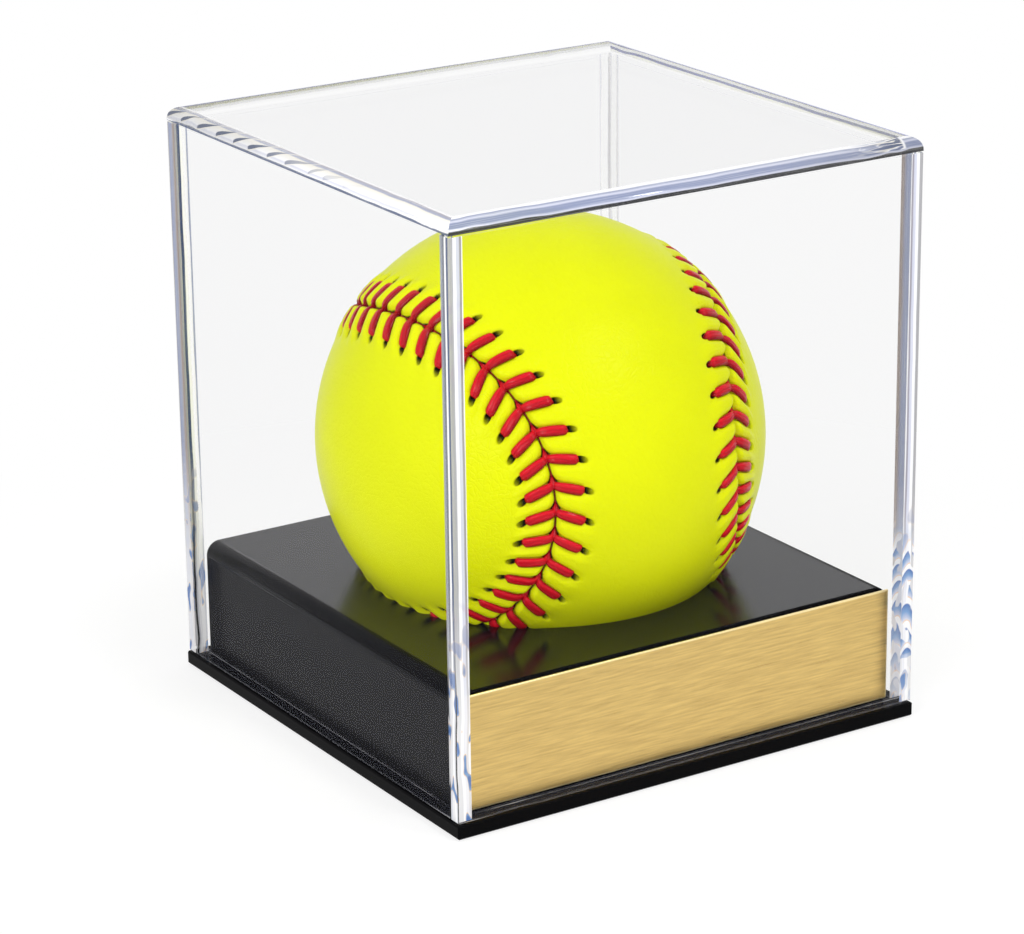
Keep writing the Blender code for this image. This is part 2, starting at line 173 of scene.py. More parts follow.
class Value:
    """What a socket puts out. Sums are written with it as with a number, and each adds its node."""

    def __init__(self, socket):
        self.socket = socket

    def feed(self, kind, inputs, **settings):
        return add_value(self.socket.id_data, kind, inputs, **settings)

    def math(self, operation, *others):
        return self.feed("ShaderNodeMath", dict(enumerate((self, *others))), operation=operation)

    __add__ = partialmethod(math, "ADD")
    __sub__ = partialmethod(math, "SUBTRACT")
    __mul__ = partialmethod(math, "MULTIPLY")
    __truediv__ = partialmethod(math, "DIVIDE")
    __pow__ = partialmethod(math, "POWER")
    __abs__ = partialmethod(math, "ABSOLUTE")

    def soft(self, low, high, to_low=0.0, to_high=1.0):
        """Goes softly from one value to the other between low and high."""
        inputs = {"Value": self, "From Min": low, "From Max": high, "To Min": to_low, "To Max": to_high}
        return self.feed("ShaderNodeMapRange", inputs, interpolation_type="SMOOTHSTEP")

    def mix(self, first, second):
        """The first colour where this is 0 and the second where it is 1."""
        return self.feed("ShaderNodeMix", {0: self, 6: first, 7: second}, output=2, data_type="RGBA")

    def bump(self, strength, distance):
        return self.feed("ShaderNodeBump", {"Height": self, "Strength": strength, "Distance": distance})

    def ramp(self, bands):
        """Colour and cover of these bands."""
        made = add_node(self.socket.id_data, "ShaderNodeValToRGB", {"Fac": self})
        elements = made.color_ramp.elements
        while len(elements) < len(bands):
            elements.new(1.0)
        for element, (position, color, cover) in zip(elements, bands):
            element.position = position
            element.color = (*color, cover)
        return [Value(socket) for socket in made.outputs]


def new_material(name):
    material = bpy.data.materials.new(name)
    material.use_nodes = True
    tree = material.node_tree
    return material, tree, tree.nodes["Principled BSDF"]


def feed(shader, **sources):
    """Links or sets inputs of a shader, named with underscores."""
    for key, value in sources.items():
        fill(shader.inputs[key.replace("_", " ")], value)


def new_group(name, kind, inputs, outputs):
    """A node group with sockets of these names and kinds, what it is given, and its end."""
    tree = bpy.data.node_groups.new(name, kind)
    for way, sockets in (("INPUT", inputs), ("OUTPUT", outputs)):
        for label, socket in sockets.items():
            tree.interface.new_socket(label, in_out=way, socket_type=f"NodeSocket{socket}")
    return tree, add_node(tree, "NodeGroupInput").outputs, add_node(tree, "NodeGroupOutput").inputs


def object_place(tree):
    return add_value(tree, "ShaderNodeTexCoord", output="Object")


def attribute(tree, name):
    return add_value(tree, "ShaderNodeAttribute", output="Fac", attribute_name=name)


def separate(tree, vector):
    return [Value(part) for part in add_node(tree, "ShaderNodeSeparateXYZ", {"Vector": vector}).outputs]


def add_noise(tree, place, scale, detail, output="Fac", **inputs):
    inputs = {"Vector": place, "Scale": scale, "Detail": detail, **inputs}
    return add_value(tree, "ShaderNodeTexNoise", inputs, output=output)


def surface_marks_group():
    """Fine unevenness of a finished surface, as roughness and height."""
    name = "surface_marks"
    if name in bpy.data.node_groups:
        return bpy.data.node_groups[name]
    inputs = dict.fromkeys(("Scale", "Stretch", "Roughness", "Spread"), "Float")
    tree, given, ends = new_group(name, "ShaderNodeTree", inputs, {"Roughness": "Float", "Height": "Float"})
    stretch = add_value(tree, "ShaderNodeCombineXYZ", {"X": given["Stretch"], "Y": 1.0, "Z": 1.0})
    place = add_value(tree, "ShaderNodeVectorMath", {0: object_place(tree), 1: stretch}, operation="MULTIPLY")
    height = add_noise(tree, place, given["Scale"], 5.0, Roughness=0.6)
    fill(ends["Roughness"], (height - 0.5) * given["Spread"] * 2.0 + given["Roughness"])
    fill(ends["Height"], height)
    return tree


# Plain finishes: roughness and how far it spreads, scale of the marks and strength of their bump
FINISHES = {
    "ball_core": (0.8, 0.1, 900.0, 0.3),
    "adhesive": (0.6, 0.1, 800.0, 0.2),
    "satin_black": (0.24, 0.02, 60.0, 0.002),
    "satin_black_top": (0.2, 0.02, 60.0, 0.004),
    "black_acrylic": (0.14, 0.04, 300.0, 0.004),
    "brushed_brass": (0.34, 0.16, 2600.0, 0.3),
}
CORE_COLOR = (0.75, 0.72, 0.6)
ADHESIVE_COLOR = (0.85, 0.85, 0.8)


def plain_material(name, color, stretch=1.0, contrast=0.1, **shader_values):
    """A finish of one colour with fine marks in its shade, roughness and height."""
    material, tree, shader = new_material(name)
    roughness, spread, scale, bump = FINISHES[name]
    values = {"Scale": scale, "Stretch": stretch, "Roughness": roughness, "Spread": spread}
    marks = add_node(tree, "ShaderNodeGroup", values, node_tree=surface_marks_group()).outputs
    height = Value(marks["Height"])
    light = [min((1 + contrast) * value, 1.0) for value in color]
    dark = [(1 - contrast) * value for value in color]
    feed(
        shader, Base_Color=height.mix(dark, light), Roughness=marks["Roughness"],
        Normal=height.bump(bump, MARK_HEIGHT), **shader_values,
    )
    return material


def leather_material(settings):
    """Optic yellow leather: fine creased grain, and painted shade in its punched holes and along its edges in
    the seam's groove.
    """
    material, tree, shader = new_material("yellow_leather")
    place = object_place(tree)
    warp = add_noise(tree, place, scale=260.0, detail=2.0, output="Color")
    warped = add_value(
        tree, "ShaderNodeVectorMath", {0: warp, 1: (CREASE_WARP,) * 3, 2: place}, operation="MULTIPLY_ADD"
    )
    creases = add_value(
        tree, "ShaderNodeTexVoronoi", {"Vector": warped, "Scale": 750.0}, output="Distance",
        feature="DISTANCE_TO_EDGE",
    )
    grain = add_noise(tree, place, scale=2600.0, detail=4.0, Roughness=0.65)
    height = grain * 0.5 + (creases / CREASE_SPAN).math("MINIMUM", 1.0)
    red, green, blue = settings.leather
    deep = (CLOUD_DARK * red, CLOUD_DARK * green, blue)
    color = add_noise(tree, place, scale=60.0, detail=3.0).mix(deep, settings.leather)
    # Painted shade: dark in the punched holes, fading outwards in each, and dark along the edges in the
    # seam's groove
    hole = attribute(tree, "hole_span").soft(*HOLE_SPAN) * attribute(tree, "hole_away").soft(*HOLE_SHADE_FADE)
    color = attribute(tree, "groove").mix(color, GROOVE_SHADE_COLOR)
    feed(
        shader, Base_Color=hole.mix(color, HOLE_SHADE_COLOR), Roughness=0.32, Specular_IOR_Level=0.06,
        Normal=height.bump(0.5, GRAIN_HEIGHT),
    )
    return material


def thread_material(settings):
    """Flat waxed thread of a few strands that run along it, with painted shade between the strands and on its
    lower side.
    """
    material, tree, shader = new_material("red_thread")
    across = attribute(tree, "across")
    place = object_place(tree)
    drift = add_noise(tree, place, scale=300.0, detail=1.0) * STRAND_DRIFT
    strands = (across * STRAND_TURNS + drift).math("COSINE")
    height = add_noise(tree, place, scale=1800.0, detail=3.0) * 0.5 + strands
    # Painted shade between the strands and on the thread's lower side
    shade = height.soft(*STRAND_SHADE) * across.soft(*THREAD_SHADE)
    dark = [THREAD_SHADE_DARKNESS * value for value in settings.thread]
    feed(
        shader, Base_Color=shade.mix(dark, settings.thread), Roughness=0.26, Specular_IOR_Level=0.14,
        Normal=height.bump(0.6, STRAND_HEIGHT),
    )
    return material


def add_zone(material, sides, color):
    """Mixes a second colour into a plain material past these sides. Each is the number of an axis, the
    middle on it, and how far off the middle the change starts and ends."""
    tree = material.node_tree
    shader = tree.nodes["Principled BSDF"]
    before = shader.inputs["Base Color"].links[0].from_socket
    axes = separate(tree, object_place(tree))
    parts = [abs(axes[axis] - middle).soft(start, end) for axis, middle, start, end in sides]
    mask = parts[0]
    for part in parts[1:]:
        mask = mask.math("MAXIMUM", part)
    feed(shader, Base_Color=mask.mix(before, color))


def let_lamps_through(alpha):
    """Alpha that drops for shadow rays, so that the lamps reach what the cover covers."""
    shadow = alpha.feed("ShaderNodeLightPath", None, output="Is Shadow Ray")
    return alpha * (shadow * (SHADOW_SHARE - 1.0) + 1.0)


def acrylic_face_material(settings):
    """A polished face: nearly nothing head on, and a faint mirror at a low angle."""
    material, tree, shader = new_material("acrylic_face")
    slope = add_value(tree, "ShaderNodeLayerWeight", {"Blend": 0.5}, output="Facing")
    alpha = slope**3.0 * FACE_MIRROR + FACE_FILM
    feed(
        shader, Base_Color=settings.tint, Roughness=0.05, Specular_IOR_Level=0.2,
        Alpha=let_lamps_through(alpha),
    )
    return material


# Heights that the fine marks stand for
MARK_HEIGHT = 0.1 * MM
GRAIN_HEIGHT = 0.08 * MM
STRAND_HEIGHT = 0.07 * MM

# Leather: its creases and clouds, and the painted shade in its holes and along its edges in the seam's groove
CREASE_WARP = 4 * MM
CREASE_SPAN = 0.18
CLOUD_DARK = 0.9
GROOVE_SHADE_COLOR = (0.05, 0.045, 0.004)
HOLE_SHADE_COLOR = (0.012, 0.009, 0.002)
HOLE_SPAN = (1.08, 0.86)
HOLE_SHADE_FADE = (-0.1, 1.0, 1.0, 0.35)

# Thread: its strands, and the painted shade between them and on its lower side
STRAND_TURNS = 6.2
STRAND_DRIFT = 7.0
STRAND_SHADE = (-1.0, 0.1, 0.5)
THREAD_SHADE = (-0.3, 1.0, 1.0, 0.2)
THREAD_SHADE_DARKNESS = 0.3

# Look of the cover's faces, and how much shadow its edges and faces throw
FACE_FILM = 0.015
FACE_MIRROR = 0.08
SHADOW_SHARE = 0.15

# Colours of the reflections and refractions painted into the edges of the clear sheet
WHITE = (0.98, 0.98, 1.0)
CREAM = (0.86, 0.82, 0.72)
LAVENDER = (0.66, 0.68, 0.82)
SLATE = (0.24, 0.28, 0.44)
MAUVE = (0.3, 0.28, 0.34)
GREY = (0.42, 0.42, 0.44)
NAVY = (0.03, 0.06, 0.16)
BLACK = (0.008, 0.009, 0.013)
BLUE = (0.08, 0.18, 0.46)
AZURE = (0.2, 0.36, 0.64)
AMBER = (0.9, 0.62, 0.38)
BROWN = (0.26, 0.2, 0.17)
STEEL = (0.32, 0.34, 0.62)

# Bands of painted reflection and refraction across each kind of edge: where each starts from 0 to 1, its
# colour and how much it covers
TOP_FRONT_BANDS = (
    (0.0, BLACK, 0.97), (0.15, BLACK, 0.97), (0.19, LAVENDER, 0.95), (0.3, SLATE, 0.95), (0.5, SLATE, 0.95),
    (0.58, LAVENDER, 0.95), (0.72, SLATE, 0.9), (0.78, WHITE, 0.95), (1.0, WHITE, 0.7),
)
TOP_BACK_BANDS = (
    (0.0, WHITE, 0.0), (0.22, LAVENDER, 0.1), (0.3, LAVENDER, 0.4), (0.4, LAVENDER, 0.4), (0.46, WHITE, 0.95),
    (0.6, WHITE, 0.95), (0.66, STEEL, 0.85), (1.0, STEEL, 0.85),
)
TOP_RIGHT_BANDS = (
    (0.0, WHITE, 0.9), (0.1, WHITE, 0.9), (0.14, STEEL, 0.9), (0.25, STEEL, 0.9), (0.3, LAVENDER, 0.4),
    (0.47, WHITE, 0.6), (0.52, STEEL, 0.95), (1.0, STEEL, 0.95),
)
TOP_SIDE_BANDS = (
    (0.0, NAVY, 0.9), (0.09, NAVY, 0.9), (0.13, WHITE, 0.9), (0.26, LAVENDER, 0.8), (0.34, WHITE, 0.9),
    (0.66, CREAM, 0.85), (0.72, SLATE, 0.8), (0.88, MAUVE, 0.75), (0.92, WHITE, 0.6),
)
END_BANDS = (
    (0.0, SLATE, 0.85), (0.12, SLATE, 0.85), (0.18, WHITE, 0.2), (0.4, WHITE, 0.15), (0.46, WHITE, 0.95),
    (0.62, WHITE, 0.95), (0.66, NAVY, 0.95), (0.84, NAVY, 0.95), (0.9, GREY, 0.9),
)
STRIP_BANDS = (
    (0.0, GREY, 0.93), (0.26, GREY, 0.93), (0.31, WHITE, 0.98), (0.5, WHITE, 0.98), (0.56, LAVENDER, 0.93),
    (0.74, LAVENDER, 0.93), (0.79, MAUVE, 0.9), (0.9, MAUVE, 0.9), (0.95, WHITE, 0.95),
)
INNER_BANDS = (
    (0.0, MAUVE, 0.28), (0.14, MAUVE, 0.28), (0.22, WHITE, 0.1), (0.8, WHITE, 0.1), (0.86, LAVENDER, 0.35),
)
RIM_BANDS = ((0.0, WHITE, 0.34), (0.1, LAVENDER, 0.03), (0.9, LAVENDER, 0.03), (1.0, WHITE, 0.3))
FAR_BANDS = (
    (0.0, BROWN, 0.85), (0.2, BROWN, 0.85), (0.32, MAUVE, 0.9), (0.5, SLATE, 0.88), (0.8, SLATE, 0.88),
    (0.9, GREY, 0.85),
)
FAR_STRIP_BANDS = (
    (0.0, BROWN, 0.8), (0.12, BROWN, 0.8), (0.18, WHITE, 0.95), (0.36, WHITE, 0.95), (0.42, GREY, 0.8),
    (0.6, MAUVE, 0.8), (0.85, GREY, 0.75), (0.93, WHITE, 0.6),
)

# Colours of the painted caustics and reflections that stack up as patches in the right front corner, from the
# foot of a patch to its top
PATCH_BANDS = (
    (0.0, WHITE, 1.0), (0.1, WHITE, 1.0), (0.15, AMBER, 1.0), (0.2, LAVENDER, 1.0), (0.5, AZURE, 1.0),
    (0.8, BLUE, 1.0), (0.86, WHITE, 1.0),
)

# Painted reflections streaked at the right end of the top's front edge: their colours, length and the joint
# that they end at
STREAK_BANDS = (
    (0.0, NAVY, 1.0), (0.42, NAVY, 1.0), (0.47, CREAM, 1.0), (0.53, WHITE, 1.0), (0.57, SLATE, 1.0),
    (0.7, NAVY, 1.0),
)
STREAK_LENGTH = 16 * MM
JOINT_PLACE = 52 * MM
JOINT_WIDTH = 0.6 * MM
STREAK_SIDE = (0.2, 0.28)

# Painted reflection of the dark stand, a black line in the foot of an upright edge: where it runs across the
# edge, and its soft half width
FOOT_LINE = 0.86
FOOT_LINE_REACH = (0.11, 0.07)

# Painted white glints streaked in all edges, and how far the bands wander across an edge: more towards its
# ends
FINE_STREAKS = (0.5, 0.75, 0.0, 0.25)
SWING = 0.14
SWING_AT_ENDS = 0.5
UPRIGHT_UNREST = (55 * MM, 20 * MM)
LEVEL_UNREST = (30 * MM, 56 * MM)

# Foot of an upright edge, with painted caustics: where the noise starts and fills each spot's colour, and its
# stacked patches
SPOTS = ((0.6, 0.63, AMBER), (0.62, 0.65, AZURE), (0.66, 0.7, BLUE))
SPOT_STRETCH = 0.45
FOOT_WHITE = 0.7
FOOT_COVER = 0.75
PATCH_PITCH = 5 * MM
PATCH_BULGE = 1.6 * MM
PATCH_UNEVENNESS = 13 * MM
PATCH_HEIGHTS = (44 * MM, 36 * MM)
PATCH_FOOT = (6 * MM, 20 * MM, 0.35)
PATCH_SIDE = (0.0, 20 * MM)
PATCH_GAPS = (0.4, 0.46)

# Dark lenses of painted reflection in a row along the top's left edge: their lengths are shares of their
# pitch
DASH_PITCH = 7.5 * MM
DASH_SLANT = 13 * MM
DASH_UNEVENNESS = 10 * MM
DASH_MIDDLE = 0.46
DASH_TAPER = 3.6
DASH_LENGTH = 0.36
DASH_EDGE = (-0.02, 0.04)
DASH_GAP = (0.84, 0.98)
DASH_ALONG = (-30 * MM, 20 * MM)
DASH_ACROSS = (0.1, 0.15)


def edge_place(tree, along=1.0, across=1.0):
    """The edge's own coordinates, stretched for a noise that runs along it."""
    place = add_value(tree, "ShaderNodeUVMap", uv_map="edge")
    return add_value(tree, "ShaderNodeMapping", {"Vector": place, "Scale": (along, across, 1.0)})


def add_patches(tree, color, place, along, across, wander, unrest):
    """What the foot of an upright edge shows, as painted caustics and reflections: small blue spots, and at
    the right corner stacked patches.
    """
    stretched = add_value(tree, "ShaderNodeMapping", {"Vector": place, "Scale": (1.0, 1.0, SPOT_STRETCH)})
    blobs = add_noise(tree, stretched, scale=560.0, detail=0.0)
    color = (unrest * FOOT_WHITE).mix(color, WHITE)
    for low, high, shade in SPOTS:
        color = (blobs.soft(low, high) * unrest).mix(color, shade)
    bulge = ((across - 0.5) * 2.0) ** 2.0 * PATCH_BULGE
    uneven = (wander - 0.5) * PATCH_UNEVENNESS + along
    patches = ((uneven + bulge) / PATCH_PITCH).math("FRACT").ramp(PATCH_BANDS)[0]
    right = separate(tree, place)[0].soft(*PATCH_SIDE)
    foot = along.soft(*PATCH_HEIGHTS) * right * along.soft(*PATCH_FOOT)
    return (blobs.soft(*PATCH_GAPS) * foot).mix(color, patches)


def add_foot_line(color, across, unrest):
    """The ragged black line, a painted reflection of the dark stand, in the foot of an upright edge."""
    return (abs(across - FOOT_LINE).soft(*FOOT_LINE_REACH) * unrest).mix(color, BLACK)


def add_corner_streaks(tree, color, along, across):
    """The dark and light streaks of painted reflection that end at the right corner's joint."""
    place = edge_place(tree, along=110.0, across=4.5)
    streaks = add_noise(tree, place, scale=1.0, detail=1.0, Distortion=1.2).ramp(STREAK_BANDS)[0]
    near = along.soft(JOINT_PLACE - STREAK_LENGTH, JOINT_PLACE - JOINT_WIDTH) * across.soft(*STREAK_SIDE)
    color = (near * along.math("LESS_THAN", JOINT_PLACE)).mix(color, streaks)
    return (abs(along - JOINT_PLACE).soft(JOINT_WIDTH, 0.0) * near).mix(color, WHITE)


def add_dashes(color, alpha, along, across, wander):
    """The dark lenses with cream gaps, painted reflections, that the top's left edge shows towards the back.
    """
    slanted = across * DASH_SLANT + ((wander - 0.5) * DASH_UNEVENNESS + along)
    saw = (slanted / DASH_PITCH).math("FRACT")
    room = ((across - DASH_MIDDLE) * DASH_TAPER) ** 2.0 * -DASH_LENGTH + DASH_LENGTH
    near = along.soft(*DASH_ALONG) * across.soft(*DASH_ACROSS)
    dark = (room - saw).soft(*DASH_EDGE) * near
    light = saw.soft(*DASH_GAP) * near
    return light.mix(dark.mix(color, NAVY), CREAM), alpha.math("MAXIMUM", dark)


def edge_material(name, bands, upright=False, dashed=False, lined=False, streaked=False):
    """A polished edge of the clear sheet, with painted reflections and refractions: crisp bands along it that
    wander, and more so near its ends.
    """
    material, tree, shader = new_material(name)
    along, across, _ = separate(tree, edge_place(tree))
    unrest = along.soft(*UPRIGHT_UNREST) if upright else abs(along).soft(*LEVEL_UNREST)
    place = object_place(tree)
    wander = add_noise(tree, place, scale=65.0, detail=2.0, Distortion=0.3)
    wandering = across + (wander - 0.5) * (unrest * SWING_AT_ENDS + SWING)
    color, alpha = wandering.ramp(bands)
    fine = add_noise(tree, edge_place(tree, along=30.0, across=22.0), scale=1.0, detail=2.0)
    color = fine.soft(*FINE_STREAKS).mix(color, WHITE)
    if upright:
        color = add_patches(tree, color, place, along, across, wander, unrest)
        alpha = alpha.math("MAXIMUM", unrest * FOOT_COVER)
    if lined:
        color = add_foot_line(color, wandering, unrest)
    if streaked:
        color = add_corner_streaks(tree, color, along, across)
    if dashed:
        color, alpha = add_dashes(color, alpha, along, across, wander)
    # Colour and cover here are painted reflections and refractions, not the sheet's own colour
    feed(shader, Base_Color=color, Roughness=0.12, Alpha=let_lamps_through(alpha))
    return material


def seam_frames(angles, wave):
    """Unit points on the seam, its tangents and its sides at these angles, in the ball's own frame."""
    main = 1 - wave
    rise = 2 * math.sqrt(main * wave)
    points = np.stack((
        main * np.cos(angles) + wave * np.cos(3 * angles),
        main * np.sin(angles) - wave * np.sin(3 * angles),
        rise * np.sin(2 * angles),
    ), axis=-1)
    tangents = np.stack((
        -main * np.sin(angles) - 3 * wave * np.sin(3 * angles),
        main * np.cos(angles) - 3 * wave * np.cos(3 * angles),
        2 * rise * np.cos(2 * angles),
    ), axis=-1)
    tangents /= np.linalg.norm(tangents, axis=-1, keepdims=True)
    return points, tangents, np.cross(points, tangents)


ARC_STEPS = 5760
THREAD_START = math.radians(45.0)


class Seam:
    """The ball's closed seam, measured by length from the threads' start."""

    def __init__(self, settings):
        self.radius = settings.radius
        self.wave = settings.wave
        self.stitches = settings.stitches
        self.lean = settings.stitch_lean
        self.reach = settings.stitch_reach
        low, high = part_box("ball_core")
        self.centre = np.array((low + high) / 2)
        self.turn = np.array(Euler(settings.turn).to_matrix())
        self.angles = THREAD_START + np.linspace(-math.pi, math.pi, ARC_STEPS + 1)
        points = seam_frames(self.angles, self.wave)[0]
        steps = np.linalg.norm(np.diff(points, axis=0), axis=1) * self.radius
        lengths = np.concatenate(([0.0], np.cumsum(steps)))
        self.half = lengths[-1] / 2
        self.lengths = lengths - self.half
        self.pitch = self.half / self.stitches

    def frames(self, lengths):
        """Points, tangents and sides at these lengths, turned as the ball lies."""
        wrapped = (np.asarray(lengths) + self.half) % (2 * self.half) - self.half
        found = seam_frames(np.interp(wrapped, self.lengths, self.angles), self.wave)
        return [vectors @ self.turn.T for vectors in found]

    def stitch_lengths(self):
        """Length at each stitch's apex, for the thread that runs forwards from the start."""
        return (np.arange(self.stitches) + 0.5) * self.pitch - self.lean / 2

    def place(self, directions, radii):
        """Points in the row frame."""
        return self.centre + directions * radii


def smooth_step(low, high, values):
    share = np.clip((values - low) / (high - low), 0.0, 1.0)
    return share * share * (3 - 2 * share)


# Leather beside the seam
EDGE_GAP = 0.1 * MM
APEX_GAP = 0.95 * MM
APEX_GAP_PLACES = [place * MM for place in (-2.5, -0.5, -0.2, 0.5)]
APEX_GAP_SHARES = (0.0, 1.0, 1.0, 0.0)
EDGE_ROLL_WIDTH = 1.5 * MM
EDGE_ROLL_DEPTH = 1.15 * MM
EDGE_ROLL_POWER = 2.2
LEATHER_THICKNESS = 2.2 * MM
BED_DEPTH = 0.5 * MM
BED_HALF_WIDTH = 0.85 * MM
BED_SIDE = 0.7 * MM
PILLOW_HEIGHT = 0.6 * MM
PILLOW_START = 1.0 * MM
PILLOW_FULL = 2.6 * MM
PILLOW_FADE_START = 5.0 * MM
PILLOW_FADE_END = 10.0 * MM
HOLE_OUT = 1.2 * MM
HOLE_HALF_LENGTH = 1.35 * MM
HOLE_HALF_WIDTH = 0.82 * MM
HOLE_DEPTH = 1.3 * MM
HOLE_FLOOR = 0.55
HOLE_RIM = 1.1
LEG_CURVE = 1.15
HOLE_RING_MARGINS = (0.4 * MM, 0.2 * MM)
EDGE_RINGS = 8
MIDDLE_RINGS = 10
HOLE_RINGS = 11
FIELD_RINGS = 5
FIELD_END = PILLOW_FADE_END + 2 * MM
SECOND_RING_GROOVE_SHADE = 0.7
STATIONS_PER_STITCH = 24
OUTER_SPANS = 18
INNER_SPANS = 6


def leg_line(seam, out):
    """How far along the seam a leg lies from its apex, at that reach."""
    return seam.lean * np.sign(out) * np.abs(out / seam.reach) ** LEG_CURVE


def beside_stitches(seam, directions, lengths, side):
    """For points near the seam: how far along it and out from it they are, from the apex of the nearest
    leg, the distance to the leg's line, and how open the gap ahead of an apex is there."""
    forward = seam.stitch_lengths()
    apexes = np.concatenate((-forward[::-1], forward))
    ways = np.concatenate((-np.ones(seam.stitches), np.ones(seam.stitches)))
    points, tangents, sides = seam.frames(apexes)
    tangents = tangents * ways[:, None]
    sides = sides * side
    count = len(apexes)
    nearest = np.searchsorted(apexes, lengths)
    best = np.full(directions.shape[0], 1.0)
    along_best = np.zeros_like(best)
    out_best = np.zeros_like(best)
    opening = np.zeros_like(best)
    for shift in range(-2, 2):
        index = (nearest + shift) % count
        along = seam.radius * np.arcsin(np.einsum("ij,ij->i", directions, tangents[index]))
        out = seam.radius * np.arctan2(
            np.einsum("ij,ij->i", directions, sides[index]), np.einsum("ij,ij->i", directions, points[index])
        )
        distance = np.abs(along - leg_line(seam, out))
        closer = distance < best
        best = np.where(closer, distance, best)
        along_best = np.where(closer, along, along_best)
        out_best = np.where(closer, out, out_best)
        opening = np.maximum(opening, np.interp(along, APEX_GAP_PLACES, APEX_GAP_SHARES))
    return along_best, out_best, best, opening


def leather_height(seam, along, out, distance, reach, gap):
    """Height of the leather over the ball's radius, with its place in the nearest hole: how far from the
    hole's middle, 1 at its rim, and how far outwards."""
    roll = np.clip(1 - (reach - gap) / EDGE_ROLL_WIDTH, 0.0, 1.0)
    height = -EDGE_ROLL_DEPTH * roll**EDGE_ROLL_POWER
    bed = 1 - smooth_step(BED_HALF_WIDTH, BED_HALF_WIDTH + BED_SIDE, distance)
    bed *= 1 - smooth_step(seam.reach, seam.reach + HOLE_OUT, reach)
    height -= BED_DEPTH * bed
    pillow = smooth_step(BED_HALF_WIDTH, PILLOW_FULL, distance)
    pillow *= smooth_step(0.0, PILLOW_START, reach)
    pillow *= 1 - smooth_step(PILLOW_FADE_START, PILLOW_FADE_END, reach)
    height += PILLOW_HEIGHT * pillow
    hole_centre = seam.reach + HOLE_OUT
    across = (along - leg_line(seam, out)) / HOLE_HALF_WIDTH
    down = (np.abs(out) - hole_centre) / HOLE_HALF_LENGTH
    span = np.sqrt(across**2 + down**2)
    hole = 1 - smooth_step(HOLE_FLOOR, HOLE_RIM, span)
    height -= HOLE_DEPTH * hole
    return height, np.minimum(span, 2.0), np.clip(down, -1.0, 1.0)


def reach_rings(seam):
    """Reaches of the rings of points beside the seam, close together at the edge and at the holes."""
    before, after = HOLE_RING_MARGINS
    hole_start = seam.reach - before
    hole_end = seam.reach + HOLE_OUT + HOLE_HALF_LENGTH + after
    edge = EDGE_ROLL_WIDTH * np.linspace(0.0, 1.0, EDGE_RINGS) ** 1.5
    middle = np.linspace(EDGE_ROLL_WIDTH, hole_start, MIDDLE_RINGS)[1:]
    holes = np.linspace(hole_start, hole_end, HOLE_RINGS)[1:]
    field = np.linspace(hole_end, FIELD_END, FIELD_RINGS)[1:]
    return np.concatenate((edge, middle, holes, field))


def great_circle(first, second, shares):
    """Unit vectors between rows of unit vectors, one set for each share."""
    whole = np.arccos(np.clip(np.sum(first * second, axis=1), -1, 1))[:, None, None]
    shares = shares[None, :, None]
    blend = first[:, None] * np.sin((1 - shares) * whole) + second[:, None] * np.sin(shares * whole)
    return blend / np.sin(whole)


def ring_faces(first, second):
    """Quads between two closed rings of point numbers."""
    return np.stack((first, np.roll(first, -1), np.roll(second, -1), second), axis=1).tolist()


def rib_faces(ring, first_number, spans):
    """Faces across a panel whose edge ring mirrors itself about its first point."""
    half = len(ring) // 2
    inner = first_number + np.arange((half - 1) * (spans - 1)).reshape(half - 1, spans - 1)
    ribs = np.concatenate((ring[1:half, None], inner, ring[:half:-1, None]), axis=1)
    quads = np.stack((ribs[:-1, :-1], ribs[:-1, 1:], ribs[1:, 1:], ribs[1:, :-1]), axis=-1)
    faces = quads.reshape(-1, 4).tolist()
    for tip, rib in ((ring[0], ribs[0]), (ring[half], ribs[-1])):
        faces += [[tip, rib[span], rib[span + 1]] for span in range(spans)]
    return faces


def panel_skin(seam, rings, heights, spans, first_number):
    """Points and faces of one skin: its rings beside the seam, and the ribs across its field."""
    points = [seam.place(ring, (seam.radius + height)[:, None]) for ring, height in zip(rings, heights)]
    count = len(rings[0])
    numbers = first_number + np.arange(len(rings) * count).reshape(len(rings), count)
    faces = []
    for first, second in zip(numbers, numbers[1:]):
        faces += ring_faces(first, second)
    last, half = rings[-1], count // 2
    shares = np.arange(1, spans) / spans
    field = great_circle(last[1:half], last[:half:-1], shares).reshape(-1, 3)
    points.append(seam.place(field, seam.radius + heights[-1][0]))
    faces += rib_faces(numbers[-1], first_number + len(rings) * count, spans)
    return np.concatenate(points), faces, numbers[0]


